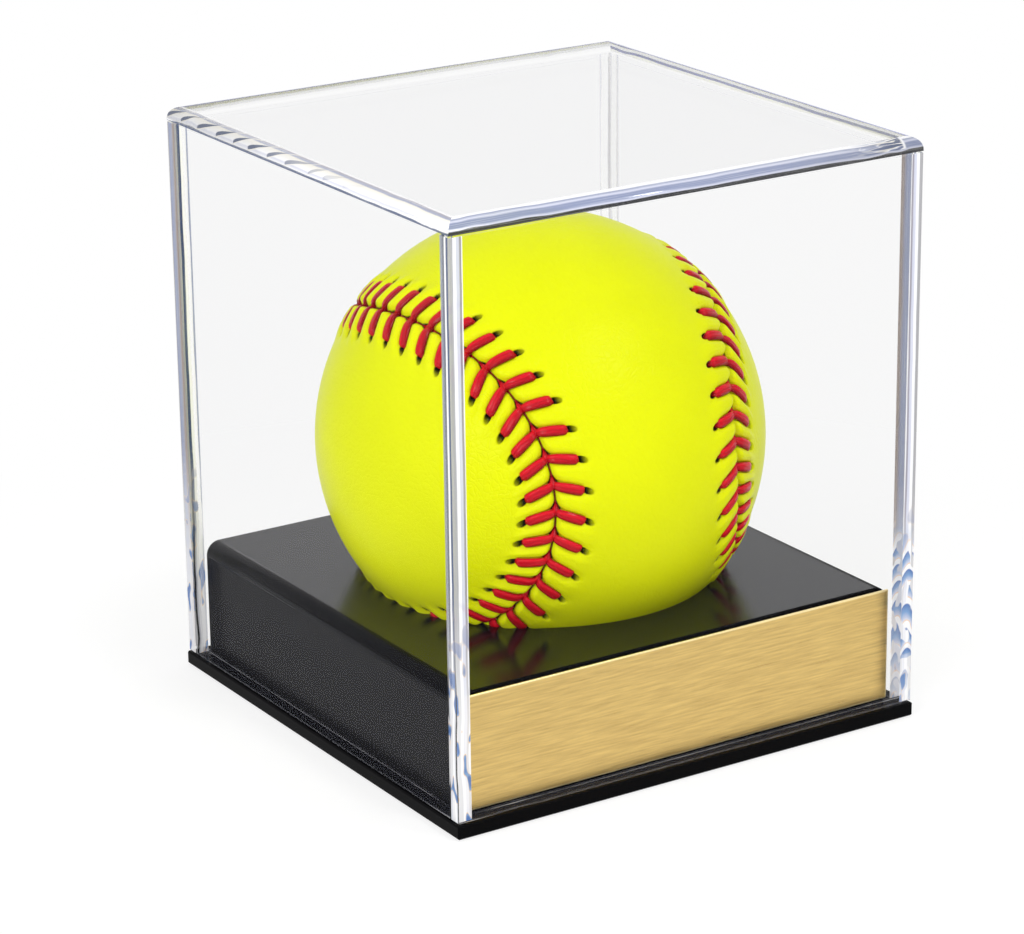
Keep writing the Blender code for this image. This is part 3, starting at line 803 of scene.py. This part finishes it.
def leather_mesh(name, seam, side, tip_length):
    """A figure-eight panel with its lobes between the stitches, their beds and their punched holes."""
    count = 2 * seam.stitches * STATIONS_PER_STITCH
    lengths = tip_length + np.arange(count) / count * 2 * seam.half
    wrapped = (lengths + seam.half) % (2 * seam.half) - seam.half
    points, _, sides = seam.frames(lengths)
    opening = beside_stitches(seam, points, wrapped, side)[3]
    gap = EDGE_GAP + (APEX_GAP - EDGE_GAP) * opening
    rings, heights, spans, aways = [], [], [], []
    for reach in reach_rings(seam):
        fade = np.clip(1 - reach / (2 * EDGE_ROLL_WIDTH), 0.0, 1.0)
        away = reach + gap * fade
        turn = (away / seam.radius)[:, None]
        directions = points * np.cos(turn) + sides * side * np.sin(turn)
        along, out, distance, _ = beside_stitches(seam, directions, wrapped, side)
        height, span, hole_away = leather_height(seam, along, out, distance, away, gap)
        rings.append(directions)
        heights.append(height)
        spans.append(span)
        aways.append(hole_away)
    outer, faces, outer_edge = panel_skin(seam, rings, heights, OUTER_SPANS, 0)
    inside_height = np.full(count, -LEATHER_THICKNESS)
    inner, inner_faces, inner_edge = panel_skin(seam, rings[:1], [inside_height], INNER_SPANS, len(outer))
    faces += inner_faces + ring_faces(outer_edge, inner_edge)
    mesh = bpy.data.meshes.new(name)
    mesh.from_pydata(np.concatenate((outer, inner)).tolist(), [], faces)
    total = len(outer) + len(inner)
    # Masks for the painted shade: in the holes, and along the edges and the inside in the seam's groove
    masks = {"hole_span": np.full(total, 2.0), "hole_away": np.zeros(total), "groove": np.zeros(total)}
    masks["hole_span"][: count * len(rings)] = np.concatenate(spans)
    masks["hole_away"][: count * len(rings)] = np.concatenate(aways)
    masks["groove"][:count] = 1.0
    masks["groove"][count : 2 * count] = SECOND_RING_GROOVE_SHADE
    masks["groove"][len(outer) :] = 1.0
    for label, values in masks.items():
        mesh.attributes.new(label, "FLOAT", "POINT").data.foreach_set("value", values.astype(np.float32))
    finish_normals(mesh)
    mesh.shade_smooth()
    return mesh


def finish_normals(mesh):
    shape = bmesh.new()
    shape.from_mesh(mesh)
    bmesh.ops.recalc_face_normals(shape, faces=shape.faces)
    shape.to_mesh(mesh)
    shape.free()


def link_object(name, data):
    """An object of the scene that holds this data."""
    made = bpy.data.objects.new(name, data)
    bpy.context.scene.collection.objects.link(made)
    return made


def add_modifier(holder, name, kind, **values):
    made = holder.modifiers.new(name, kind)
    for key, value in values.items():
        setattr(made, key, value)
    return made


def evaluated_mesh(holder, name):
    """The mesh of an object after its modifiers. The object itself goes."""
    bpy.context.view_layer.update()
    depsgraph = bpy.context.evaluated_depsgraph_get()
    mesh = bpy.data.meshes.new_from_object(holder.evaluated_get(depsgraph), depsgraph=depsgraph)
    mesh.name = name
    bpy.data.objects.remove(holder)
    return mesh


def finished_mesh(shape, name):
    """The mesh of a closed shape, with its faces turned outwards."""
    bmesh.ops.recalc_face_normals(shape, faces=shape.faces)
    mesh = bpy.data.meshes.new(name)
    shape.to_mesh(mesh)
    shape.free()
    return mesh


def join_rings(shape, rings):
    """Faces between rings of points, and over both ends."""
    for first, second in zip(rings, rings[1:]):
        for index in range(len(first)):
            after = (index + 1) % len(first)
            shape.faces.new((first[index], first[after], second[after], second[index]))
    shape.faces.new(rings[0])
    shape.faces.new(rings[-1])


def add_piece(name, mesh, body, replaced):
    """Puts a finished mesh into the scene on its body, in place of the nodes that it stands for."""
    piece = link_object(name, mesh)
    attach(piece, body)
    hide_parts(*replaced)


def paint_node(name, material):
    """Gives a piece of the frame its finish."""
    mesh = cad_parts[name].data
    mesh.materials.clear()
    mesh.materials.append(material)


class CASE_OT_leather(Step, bpy.types.Operator):
    """Model the ball's two leather panels"""

    bl_idname = "case.leather"
    bl_label = "Ball Leather"
    group = "case_ball"

    def build(self, settings):
        seam = Seam(settings)
        material = leather_material(settings)
        for letter, side, tip_length in (("a", 1, -seam.half / 2), ("b", -1, 0.0)):
            mesh = leather_mesh(f"leather_panel_{letter}", seam, side, tip_length)
            mesh.materials.append(material)
            add_piece(mesh.name, mesh, "ball", [f"ball_cover_panel_{letter}"])
        paint_node("ball_core", plain_material("ball_core", CORE_COLOR))


# Leg of a stitch from the hole to the seam: share of the reach, height over the ball, share of the width
LEG_SECTIONS = (
    (1.07, -1.5, 0.9), (1.05, -0.95, 0.96), (1.03, -0.5, 1.0), (0.99, -0.12, 1.0), (0.92, 0.0, 1.02),
    (0.78, 0.08, 1.03), (0.6, 0.12, 1.02), (0.42, 0.1, 1.0), (0.27, 0.02, 0.95), (0.16, -0.18, 0.88),
    (0.08, -0.6, 0.8), (0.03, -1.25, 0.74),
)
LEG_SIDES = 12
LEG_FLATNESS = 0.85
STEEP = 0.2


def stitch_mesh(seam, settings):
    """One stitch in the frame of its apex: X along the seam, Y out from it, Z away from the ball."""
    shape = bmesh.new()
    layer = shape.verts.layers.float.new("across")
    for side in (1, -1):
        add_leg(shape, layer, seam, settings, side)
    add_root(shape, layer)
    mesh = finished_mesh(shape, "stitch")
    mesh.shade_smooth()
    return mesh


def on_ball(radius, along, out, height):
    """A point beside the apex, measured along the ball's surface."""
    reach = radius + height
    first, second = along / radius, out / radius
    return Vector((
        reach * math.sin(first),
        reach * math.sin(second) * math.cos(first),
        reach * math.cos(second) * math.cos(first) - radius,
    ))


def turned_to(vector, axis):
    return -vector if vector[axis] < 0 else vector


def add_leg(shape, layer, seam, settings, side):
    half_width, half_thickness = settings.thread_width / 2, settings.thread_thickness / 2
    centres = []
    for share, height, _ in LEG_SECTIONS:
        out = share * seam.reach
        along = float(leg_line(seam, np.array(out)))
        centres.append(on_ball(seam.radius, along, side * out, height * MM))
    rings = []
    for index, centre in enumerate(centres):
        before, after = centres[max(index - 1, 0)], centres[min(index + 1, len(centres) - 1)]
        path = (after - before).normalized()
        wide = path.cross(Vector((0.0, 0.0, 1.0)))
        wide = Vector((1.0, 0.0, 0.0)) if wide.length < STEEP else wide.normalized()
        wide = turned_to((wide - wide.dot(path) * path).normalized(), 0)
        thick = turned_to(path.cross(wide).normalized(), 2)
        scale = LEG_SECTIONS[index][2]
        ring = []
        for angle in np.arange(LEG_SIDES) * 2 * math.pi / LEG_SIDES:
            across = math.cos(angle)
            lift = math.copysign(abs(math.sin(angle)) ** LEG_FLATNESS, math.sin(angle))
            off_centre = wide * across * half_width * scale + thick * lift * half_thickness
            point = shape.verts.new(centre + off_centre)
            point[layer] = across
            ring.append(point)
        rings.append(ring)
    join_rings(shape, rings)


ROOT_START = 0.25 * MM
ROOT_LENGTH = 2.3 * MM
ROOT_HALF_WIDTH = 0.95 * MM
ROOT_TIP = 0.08 * MM
ROOT_TOP = -0.12 * MM
ROOT_BOTTOM = -1.3 * MM
ROOT_FLOOR = -1.7 * MM
ROOT_STEPS = 5
ROOT_PROFILE = (
    (-1.0, -0.3), (-0.75, 0.0), (-0.4, 0.06), (0.0, -0.12), (0.4, 0.06), (0.75, 0.0), (1.0, -0.3)
)


def add_root(shape, layer):
    """The two strands that come up in the seam ahead of the apex, side by side and ending in a point."""
    rings = []
    for share in np.linspace(0.0, 1.0, ROOT_STEPS):
        half = ROOT_HALF_WIDTH * (1 - share) ** 0.9 + ROOT_TIP
        top = ROOT_TOP + (ROOT_BOTTOM - ROOT_TOP) * share**1.3
        profile = [(across, top + lift * MM) for across, lift in ROOT_PROFILE]
        ring = []
        for across, height in (*profile, (1.0, ROOT_FLOOR), (-1.0, ROOT_FLOOR)):
            point = shape.verts.new((ROOT_START - share * ROOT_LENGTH, across * half, height))
            point[layer] = across
            ring.append(point)
        rings.append(ring)
    join_rings(shape, rings)


LACING_INPUTS = {
    "Geometry": "Geometry", "Stitches": "Int", "Stitch": "Object", "Centre": "Vector", "Seed": "Int",
    "Strand Radius": "Float", "Strand Share": "Float", "Wander": "Float", "Material": "Material",
}


def lacing_tree():
    """Sets a stitch at every second point of a curve on the ball, square to the ball, with a strand below."""
    tree, given, ends = new_group("lacing", "GeometryNodeTree", LACING_INPUTS, {"Geometry": "Geometry"})
    count = Value(given["Stitches"]) * 2.0 + 1.0
    spaced = add_value(tree, "GeometryNodeResampleCurve", {"Curve": given["Geometry"], "Count": count})
    dots = add_node(tree, "GeometryNodeCurveToPoints", {"Curve": spaced}, mode="EVALUATED").outputs
    kept = add_value(
        tree, "GeometryNodeStoreNamedAttribute",
        {"Geometry": dots["Points"], "Name": "along", "Value": dots["Tangent"]},
        data_type="FLOAT_VECTOR", domain="POINT",
    )
    even = add_value(tree, "GeometryNodeInputIndex").math("MODULO", 2.0).math("LESS_THAN", 0.5)
    chosen = add_value(tree, "GeometryNodeDeleteGeometry", {"Geometry": kept, "Selection": even})
    place = add_value(tree, "GeometryNodeInputPosition")
    away = place.feed("ShaderNodeVectorMath", {0: place, 1: given["Centre"]}, operation="SUBTRACT")
    along = add_value(
        tree, "GeometryNodeInputNamedAttribute", {"Name": "along"}, output="Attribute",
        data_type="FLOAT_VECTOR",
    )
    facing = add_value(
        tree, "FunctionNodeAxesToRotation", {"Primary Axis": away, "Secondary Axis": along},
        primary_axis="Z", secondary_axis="X",
    )
    chance = add_value(tree, "FunctionNodeRandomValue", {"Seed": given["Seed"]}, output=1, data_type="FLOAT")
    angle = (chance - 0.5) * given["Wander"]
    spin = add_value(tree, "FunctionNodeAxisAngleToRotation", {"Axis": (0.0, 0.0, 1.0), "Angle": angle})
    turned = add_value(
        tree, "FunctionNodeRotateRotation", {"Rotation": facing, "Rotate By": spin}, rotation_space="LOCAL"
    )
    unit = add_value(
        tree, "GeometryNodeObjectInfo", {"Object": given["Stitch"], "As Instance": True}, output="Geometry"
    )
    laced = add_value(
        tree, "GeometryNodeInstanceOnPoints", {"Points": chosen, "Instance": unit, "Rotation": turned}
    )
    sunk = away.feed("ShaderNodeVectorMath", {0: away, "Scale": given["Strand Share"]}, operation="SCALE")
    centred = sunk.feed("ShaderNodeVectorMath", {0: sunk, 1: given["Centre"]}, operation="ADD")
    lowered = add_value(tree, "GeometryNodeSetPosition", {"Geometry": spaced, "Position": centred})
    circle = {"Resolution": STRAND_SIDES, "Radius": given["Strand Radius"]}
    profile = add_value(tree, "GeometryNodeCurvePrimitiveCircle", circle)
    strand = add_value(
        tree, "GeometryNodeCurveToMesh", {"Curve": lowered, "Profile Curve": profile, "Fill Caps": True}
    )
    together = add_node(tree, "GeometryNodeJoinGeometry")
    for part in (strand, laced):
        fill(together.inputs[0], part)
    real = add_value(tree, "GeometryNodeRealizeInstances", {"Geometry": together.outputs[0]})
    dressed = add_value(tree, "GeometryNodeSetMaterial", {"Geometry": real, "Material": given["Material"]})
    fill(ends[0], dressed)
    return tree


def set_inputs(modifier, values):
    """Sets a modifier's inputs by the identifiers of their sockets."""
    for item in modifier.node_group.interface.items_tree:
        if item.in_out == "INPUT" and item.name in values:
            modifier[item.identifier] = values[item.name]


CURVE_POINTS_PER_STITCH = 8


def seam_curve(name, seam, way):
    """Half of the seam as a curve on the ball, placed so that every second point of it, spaced evenly,
    is a stitch's apex."""
    count = CURVE_POINTS_PER_STITCH * seam.stitches + 1
    lengths = way * (np.linspace(0.0, seam.half, count) - seam.lean / 2)
    points = seam.place(seam.frames(lengths)[0], seam.radius)
    curve = bpy.data.curves.new(name, "CURVE")
    curve.dimensions = "3D"
    spline = curve.splines.new("POLY")
    spline.points.add(count - 1)
    spline.points.foreach_set("co", np.column_stack((points, np.ones(count))).ravel())
    return link_object(name, curve)


STRAND_RADIUS = 0.45 * MM
STRAND_DEPTH = 1.75 * MM
STRAND_SIDES = 8
STITCH_WANDER = math.radians(5.0)
FIRST_SEED = 7


class CASE_OT_lacing(Step, bpy.types.Operator):
    """Lace the seam with its two red threads"""

    bl_idname = "case.lacing"
    bl_label = "Ball Lacing"
    group = "case_ball"

    def build(self, settings):
        seam = Seam(settings)
        unit = link_object("stitch", stitch_mesh(seam, settings))
        inputs = {
            "Stitches": seam.stitches, "Stitch": unit, "Centre": tuple(seam.centre),
            "Strand Radius": STRAND_RADIUS, "Strand Share": 1 - STRAND_DEPTH / seam.radius,
            "Wander": STITCH_WANDER, "Material": thread_material(settings),
        }
        tree = lacing_tree()
        for hand, way in (("left", -1), ("right", 1)):
            guide = seam_curve(f"seam_{hand}", seam, way)
            lacing = add_modifier(guide, "lacing", "NODES", node_group=tree)
            set_inputs(lacing, {**inputs, "Seed": FIRST_SEED + way})
            mesh = evaluated_mesh(guide, f"lacing_{hand}")
            add_piece(mesh.name, mesh, "ball", [f"ball_thread_{hand}"])
        bpy.data.objects.remove(unit)


BEND_STEPS = 20
SEAT_STEPS = 240
SEAT_GAP = 0.3 * MM
CUT_OVERRUN = 2 * MM
EDGE_BREAK = 0.2 * MM
BROKEN_ANGLE = math.radians(35.0)
SHARP_ANGLE = math.radians(25.0)
LARGEST_SMOOTH = 5e-4
LEVEL = 0.999
# Where the painted dark reflection of the bends gives way to the sides' colour, as a share of the bend radius
# below the top, and how softly
SIDE_START = 0.65
SIDE_FADE = 0.3 * MM


def arc(centre, radius, start_deg, end_deg, steps):
    for angle in np.radians(np.linspace(start_deg, end_deg, steps + 1)):
        yield centre[0] + radius * math.cos(angle), centre[1] + radius * math.sin(angle)


def bent_sheet(settings):
    """The riser's sheet in the place of its node, before the seat is cut."""
    low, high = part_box("riser_shell")
    half = high.x
    bend, sheet = settings.bend_radius, settings.sheet
    corner, top = half - bend, high.z - bend
    outline = [(half, low.z), *arc((corner, top), bend, 0, 90, BEND_STEPS)]
    outline += [*arc((-corner, top), bend, 90, 180, BEND_STEPS), (-half, low.z)]
    outline += [(sheet - half, low.z), *arc((-corner, top), bend - sheet, 180, 90, BEND_STEPS)]
    outline += [*arc((corner, top), bend - sheet, 90, 0, BEND_STEPS), (half - sheet, low.z)]
    shape = bmesh.new()
    face = shape.faces.new([shape.verts.new((x, low.y, z)) for x, z in outline])
    swept = bmesh.ops.extrude_face_region(shape, geom=[face])["geom"]
    moved = [item for item in swept if isinstance(item, bmesh.types.BMVert)]
    bmesh.ops.translate(shape, verts=moved, vec=(0.0, high.y - low.y, 0.0))
    return finished_mesh(shape, "riser_sheet")


def seat_cutter(settings):
    """Cuts the ball's seat: a bevel that lies along the ball, and a straight bore below."""
    centre = (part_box("ball_core")[0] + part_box("ball_core")[1]) / 2
    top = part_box("riser_shell")[1].z
    lowest = ("ball_thread_left", "ball_thread_right", "ball_cover_panel_a")
    ball_low = min(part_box(name)[0].z for name in lowest)
    touch = centre.z - ball_low + SEAT_GAP
    bevel = settings.seat_bevel
    rise = centre.z - top + bevel / 2
    radius = math.sqrt(touch**2 - rise**2)
    slope = rise / radius
    bore = radius - slope * bevel / 2
    profile = (
        (radius + slope * (bevel / 2 + CUT_OVERRUN), top + CUT_OVERRUN),
        (bore, top - bevel),
        (bore, top - settings.sheet - CUT_OVERRUN),
    )
    shape = bmesh.new()
    angles = np.arange(SEAT_STEPS) / SEAT_STEPS * 2 * math.pi
    rings = []
    for reach, height in profile:
        rings.append([shape.verts.new((reach * math.cos(a), reach * math.sin(a), height)) for a in angles])
    join_rings(shape, rings)
    return finished_mesh(shape, "seat_cutter")


class CASE_OT_riser(Step, bpy.types.Operator):
    """Model the bent riser with its seat and finish its front and back"""

    bl_idname = "case.riser"
    bl_label = "Riser"
    group = "case_stand"

    def build(self, settings):
        cutter = link_object("seat_cutter", seat_cutter(settings))
        holder = link_object("riser_sheet", bent_sheet(settings))
        add_modifier(holder, "seat", "BOOLEAN", operation="DIFFERENCE", solver="EXACT", object=cutter)
        add_modifier(
            holder, "edges", "BEVEL", width=EDGE_BREAK, segments=2, limit_method="ANGLE",
            angle_limit=BROKEN_ANGLE,
        )
        sheet = evaluated_mesh(holder, "riser_sheet")
        bpy.data.objects.remove(cutter)
        sheet.shade_smooth()
        sheet.set_sharp_from_angle(angle=SHARP_ANGLE)
        # Painted dark reflection: the bends keep the darker riser colour, and the sides below them the
        # lighter one
        side = plain_material("satin_black", settings.riser, contrast=0.05, IOR=1.13)
        bend_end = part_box("riser_shell")[1].z - SIDE_START * settings.bend_radius
        add_zone(side, [(2, 0.0, bend_end, bend_end - SIDE_FADE)], settings.riser_side)
        # Painted sheen: the top is a lit copy of the sheet, its own colour and higher reflectance making it
        # look lighter
        top = plain_material("satin_black_top", settings.riser_top_sheen, IOR=1.38)
        for material in (side, top):
            sheet.materials.append(material)
        for face in sheet.polygons:
            face.material_index = int(face.normal.z > LEVEL)
            face.use_smooth = face.area < LARGEST_SMOOTH
        add_piece("riser_sheet", sheet, "base", ["riser_shell"])
        for name in ("riser_front_panel", "riser_back_panel"):
            paint_node(name, side)


# Polished rim of the brass plate, painted lighter as a highlight, from its edge
RIM_START = 0.45 * MM
RIM_FULL = 0.25 * MM


class CASE_OT_base(Step, bpy.types.Operator):
    """Finish the base plate and the brass plate"""

    bl_idname = "case.base"
    bl_label = "Base and Brass Plate"
    group = "case_stand"

    def build(self, settings):
        brass = plain_material("brushed_brass", settings.brass, stretch=0.05, contrast=0.45, Metallic=1.0)
        low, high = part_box("name_plate")
        middle, reach = (low + high) / 2, (high - low) / 2
        # Painted highlight: the rim gets the lighter brass of its polished edge
        edges = [(axis, middle[axis], reach[axis] - RIM_START, reach[axis] - RIM_FULL) for axis in (0, 2)]
        add_zone(brass, edges, settings.brass_rim_highlight)
        paint_node("name_plate", brass)
        paint_node("base_plate", plain_material("black_acrylic", settings.base, IOR=1.09))
        paint_node("plate_adhesive", plain_material("adhesive", ADHESIVE_COLOR))


TOP_ROUND_STEPS = 12
RIM_HEIGHT = 0.4 * MM
FACING = 0.5


def cover_materials(settings):
    """The cover's finishes by name: the faces, and the edges with their painted reflections and refractions.
    """
    edges = {
        "end": (END_BANDS, {"upright": True, "lined": True}),
        "strip": (STRIP_BANDS, {"upright": True}),
        "far": (FAR_BANDS, {"upright": True}),
        "far_strip": (FAR_STRIP_BANDS, {"upright": True}),
        "inner": (INNER_BANDS, {}),
        "rim": (RIM_BANDS, {}),
        "top_front": (TOP_FRONT_BANDS, {"streaked": True}),
        "top_right": (TOP_RIGHT_BANDS, {}),
        "top_back": (TOP_BACK_BANDS, {}),
        "top_side": (TOP_SIDE_BANDS, {"dashed": True}),
    }
    made = {name: edge_material(f"acrylic_{name}", bands, **marks) for name, (bands, marks) in edges.items()}
    return {"face": acrylic_face_material(settings), **made}


def dressed_mesh(name, shape, finishes, materials):
    """Makes a mesh of the shape, each of whose faces has the material of its finish."""
    used = sorted(set(finishes))
    for face, finish in zip(shape.faces, finishes):
        face.material_index = used.index(finish)
    mesh = finished_mesh(shape, name)
    for finish in used:
        mesh.materials.append(materials[finish])
    return mesh


def wall_finish(centre, normal, low, high, thin):
    """The finish of a wall's face, the axis that it runs along, and where its width starts and ends."""
    other = 1 - thin
    wide = thin == 1
    outside = centre[thin] * normal[thin] > 0
    at_back = low[thin] > 0
    reach = high[other]
    joint = reach - (high[thin] - low[thin])
    side = math.copysign(1.0, centre[other])
    if centre.z < low.z + RIM_HEIGHT and abs(normal[thin]) > FACING:
        return "rim", other, (2, low.z, low.z + RIM_HEIGHT)
    if abs(normal.z) > FACING:
        return "rim", other, (thin, low[thin], high[thin])
    if abs(normal[other]) > FACING:
        inner, outer = sorted((low[thin], high[thin]), key=abs)
        hidden = "inner" if side > 0 else "far"
        return hidden if at_back else "end", 2, (thin, inner, outer)
    if wide and outside and abs(centre[other]) > joint:
        hidden = "inner" if side > 0 else "far_strip"
        return hidden if at_back else "strip", 2, (other, side * reach, side * joint)
    return "face", 2, (other, -reach, reach)


def wall_mesh(name, node, thin, materials, settings):
    """A wall in the place of its node, cut where its finish changes. It is thin along that axis."""
    low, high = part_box(node)
    other = 1 - thin
    shape = bmesh.new()
    size, middle = high - low, (high + low) / 2
    bmesh.ops.create_cube(shape, size=1.0, matrix=Matrix.Translation(middle) @ Matrix.Diagonal((*size, 1.0)))
    bmesh.ops.bevel(
        shape, geom=list(shape.edges), offset=settings.edge_break, segments=2, profile=0.5, affect="EDGES"
    )
    joint = high[other] - (high[thin] - low[thin])
    cuts = [(other, joint), (other, -joint)] if thin == 1 else []
    for axis, place in (*cuts, (2, low.z + RIM_HEIGHT)):
        point, way = Vector(), Vector()
        point[axis] = place
        way[axis] = 1.0
        everything = [*shape.verts, *shape.edges, *shape.faces]
        bmesh.ops.bisect_plane(shape, geom=everything, plane_co=point, plane_no=way)
    layer = shape.loops.layers.uv.new("edge")
    finishes = []
    for face in shape.faces:
        middle = face.calc_center_median()
        finish, along, (axis, start, end) = wall_finish(middle, face.normal, low, high, thin)
        finishes.append(finish)
        for loop in face.loops:
            loop[layer].uv = (loop.vert.co[along], (loop.vert.co[axis] - start) / (end - start))
    return dressed_mesh(name, shape, finishes, materials)


def top_mesh(name, node, materials, settings):
    """The top in the place of its node, with its four rounded edges mitred at the corners."""
    low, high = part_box(node)
    half, radius = high.x, settings.top_round
    sections = [(half, low.z), *arc((half - radius, high.z - radius), radius, 0, 90, TOP_ROUND_STEPS)]
    shape = bmesh.new()
    layer = shape.loops.layers.uv.new("edge")
    rings = []
    for reach, height in sections:
        around = ((-reach, -reach), (reach, -reach), (reach, reach), (-reach, reach))
        rings.append([shape.verts.new((x, y, height)) for x, y in around])
    finishes = []
    for index, (lower, upper) in enumerate(zip(rings, rings[1:])):
        for corner, finish in enumerate(("top_front", "top_right", "top_back", "top_side")):
            after = (corner + 1) % 4
            face = shape.faces.new((lower[corner], lower[after], upper[after], upper[corner]))
            face.smooth = index > 0
            finishes.append(finish)
            for loop in face.loops:
                step = index if loop.vert in lower else index + 1
                loop[layer].uv = (loop.vert.co[corner % 2], step / (len(sections) - 1))
    shape.faces.new(rings[0])
    shape.faces.new(rings[-1])
    finishes += ["face", "face"]
    return dressed_mesh(name, shape, finishes, materials)


class CASE_OT_cover(Step, bpy.types.Operator):
    """Model the clear cover's five panels with their polished edges"""

    bl_idname = "case.cover"
    bl_label = "Clear Cover"
    group = "case_cover"

    def build(self, settings):
        materials = cover_materials(settings)
        for side, thin in (("front", 1), ("back", 1), ("left", 0), ("right", 0), ("top", 2)):
            name, node = f"clear_{side}", f"cover_{side}_panel"
            if side == "top":
                mesh = top_mesh(name, node, materials, settings)
            else:
                mesh = wall_mesh(name, node, thin, materials, settings)
            add_piece(name, mesh, "cover", [node])


# Place and size of each lamp, and what they aim at
KEY_LAMP = ((0.2, -0.55, 0.75), 0.18)
FILL_LAMP = ((-0.75, -0.4, 0.4), 0.4)
LAMP_TARGET = (0.0, 0.0, 0.06)


def add_lamp(name, place, size, power):
    lamp = bpy.data.lights.new(name, "AREA")
    lamp.shape = "DISK"
    lamp.size = size
    lamp.energy = power
    made = link_object(name, lamp)
    made.location = place
    made.rotation_euler = (Vector(place) - Vector(LAMP_TARGET)).to_track_quat("Z", "Y").to_euler()


SENSOR_WIDTH = 36.0


def add_camera(settings):
    data = bpy.data.cameras.new("camera")
    data.lens = settings.lens
    data.sensor_width = SENSOR_WIDTH
    data.sensor_fit = "HORIZONTAL"
    data.clip_start = 10 * MM
    azimuth, elevation, roll = settings.azimuth, settings.elevation, settings.roll
    level = Vector((-math.sin(azimuth), math.cos(azimuth), 0.0))
    view = level * math.cos(elevation) - Vector((0.0, 0.0, math.sin(elevation)))
    right = view.cross(Vector((0.0, 0.0, 1.0))).normalized()
    up = right.cross(view)
    rolled_right = right * math.cos(roll) + up * math.sin(roll)
    rolled_up = up * math.cos(roll) - right * math.sin(roll)
    camera = link_object("camera", data)
    rotation = Matrix((rolled_right, rolled_up, -view)).transposed()
    camera.matrix_world = Matrix.Translation(settings.camera_place) @ rotation.to_4x4()
    bpy.context.scene.camera = camera


def seen_rays(tree):
    """1 for rays whose background shows: from the camera, off a mirror or through glass."""
    rays = add_node(tree, "ShaderNodeLightPath").outputs
    first = Value(rays["Is Camera Ray"]).math("MAXIMUM", rays["Is Glossy Ray"])
    return first.math("MAXIMUM", rays["Is Transmission Ray"])


def set_world(settings):
    world = bpy.data.worlds.new("studio")
    bpy.context.scene.world = world
    world.use_nodes = True
    strength = seen_rays(world.node_tree) * (1.0 - settings.world) + settings.world
    feed(world.node_tree.nodes["Background"], Color=(1.0, 1.0, 1.0), Strength=strength)


# Shades of the floor, and how far from its middle it fades into the backdrop
FLOOR_LIT = 0.3
FLOOR_GLOW = 0.74
FLOOR_PLAIN = 0.8
FADE_START = 85 * MM
FADE_END = 200 * MM
FLOOR_HALF = 1.5
FLOOR_DROP = 0.2 * MM


def floor_material():
    """White floor that keeps a soft shadow near the object and fades into the backdrop."""
    material, tree, shader = new_material("floor")
    tree.nodes.remove(shader)
    kinds = ("ShaderNodeBsdfDiffuse", "ShaderNodeBsdfDiffuse", "ShaderNodeEmission", "ShaderNodeEmission")
    shades = (FLOOR_LIT, FLOOR_PLAIN, FLOOR_GLOW, 1.0)
    lit, plain, glow, white = (add_value(tree, kind, {0: (shade,) * 3}) for kind, shade in zip(kinds, shades))
    near = add_value(tree, "ShaderNodeAddShader", {0: lit, 1: glow})
    place = object_place(tree)
    away = place.feed("ShaderNodeVectorMath", {0: place}, output="Value", operation="LENGTH")
    shown = add_value(tree, "ShaderNodeMixShader", {0: away.soft(FADE_START, FADE_END), 1: near, 2: white})
    both = add_value(tree, "ShaderNodeMixShader", {0: seen_rays(tree), 1: plain, 2: shown})
    fill(tree.nodes["Material Output"].inputs["Surface"], both)
    return material


class CASE_OT_studio(Step, bpy.types.Operator):
    """Set up the camera, the lamps and the floor"""

    bl_idname = "case.studio"
    bl_label = "Studio"
    group = "case_studio"

    def build(self, settings):
        add_camera(settings)
        set_world(settings)
        scene = bpy.context.scene
        scene.view_settings.view_transform = "Standard"
        scene.cycles.transparent_max_bounces = 32
        add_lamp("key_lamp", *KEY_LAMP, settings.key)
        add_lamp("fill_lamp", *FILL_LAMP, settings.fill)
        mesh = bpy.data.meshes.new("floor")
        around = ((-1, -1), (1, -1), (1, 1), (-1, 1))
        corners = [(x * FLOOR_HALF, y * FLOOR_HALF, -FLOOR_DROP) for x, y in around]
        mesh.from_pydata(corners, [], [(0, 1, 2, 3)])
        mesh.materials.append(floor_material())
        floor = link_object("floor", mesh)


class CASE_PT_sidebar(bpy.types.Panel):
    """Lists the steps that dress the case"""

    bl_label = "Display Case"
    bl_idname = "CASE_PT_sidebar"
    bl_space_type = "VIEW_3D"
    bl_region_type = "UI"
    bl_category = "Display Case"

    def draw(self, context):
        for step in STEPS:
            self.layout.operator(step.bl_idname)
        for name in SETTINGS:
            group = getattr(context.scene, name)
            box = self.layout.box()
            for key in group.__annotations__:
                box.prop(group, key)


SETTINGS = {
    "case_ball": BallSettings,
    "case_stand": StandSettings,
    "case_cover": CoverSettings,
    "case_studio": StudioSettings,
}
STEPS = (CASE_OT_studio, CASE_OT_base, CASE_OT_riser, CASE_OT_leather, CASE_OT_lacing, CASE_OT_cover)


def register():
    for group in SETTINGS.values():
        bpy.utils.register_class(group)
    for kind in (*STEPS, CASE_PT_sidebar):
        bpy.utils.register_class(kind)
    for name, group in SETTINGS.items():
        setattr(bpy.types.Scene, name, PointerProperty(type=group))


def unregister():
    for name in SETTINGS:
        delattr(bpy.types.Scene, name)
    for kind in (CASE_PT_sidebar, *reversed(STEPS), *SETTINGS.values()):
        bpy.utils.unregister_class(kind)


def main():
    register()
    bpy.ops.case.studio()
    bpy.ops.case.base()
    bpy.ops.case.riser()
    bpy.ops.case.leather()
    bpy.ops.case.lacing()
    bpy.ops.case.cover()
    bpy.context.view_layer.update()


if __name__ == "__main__":
    main()
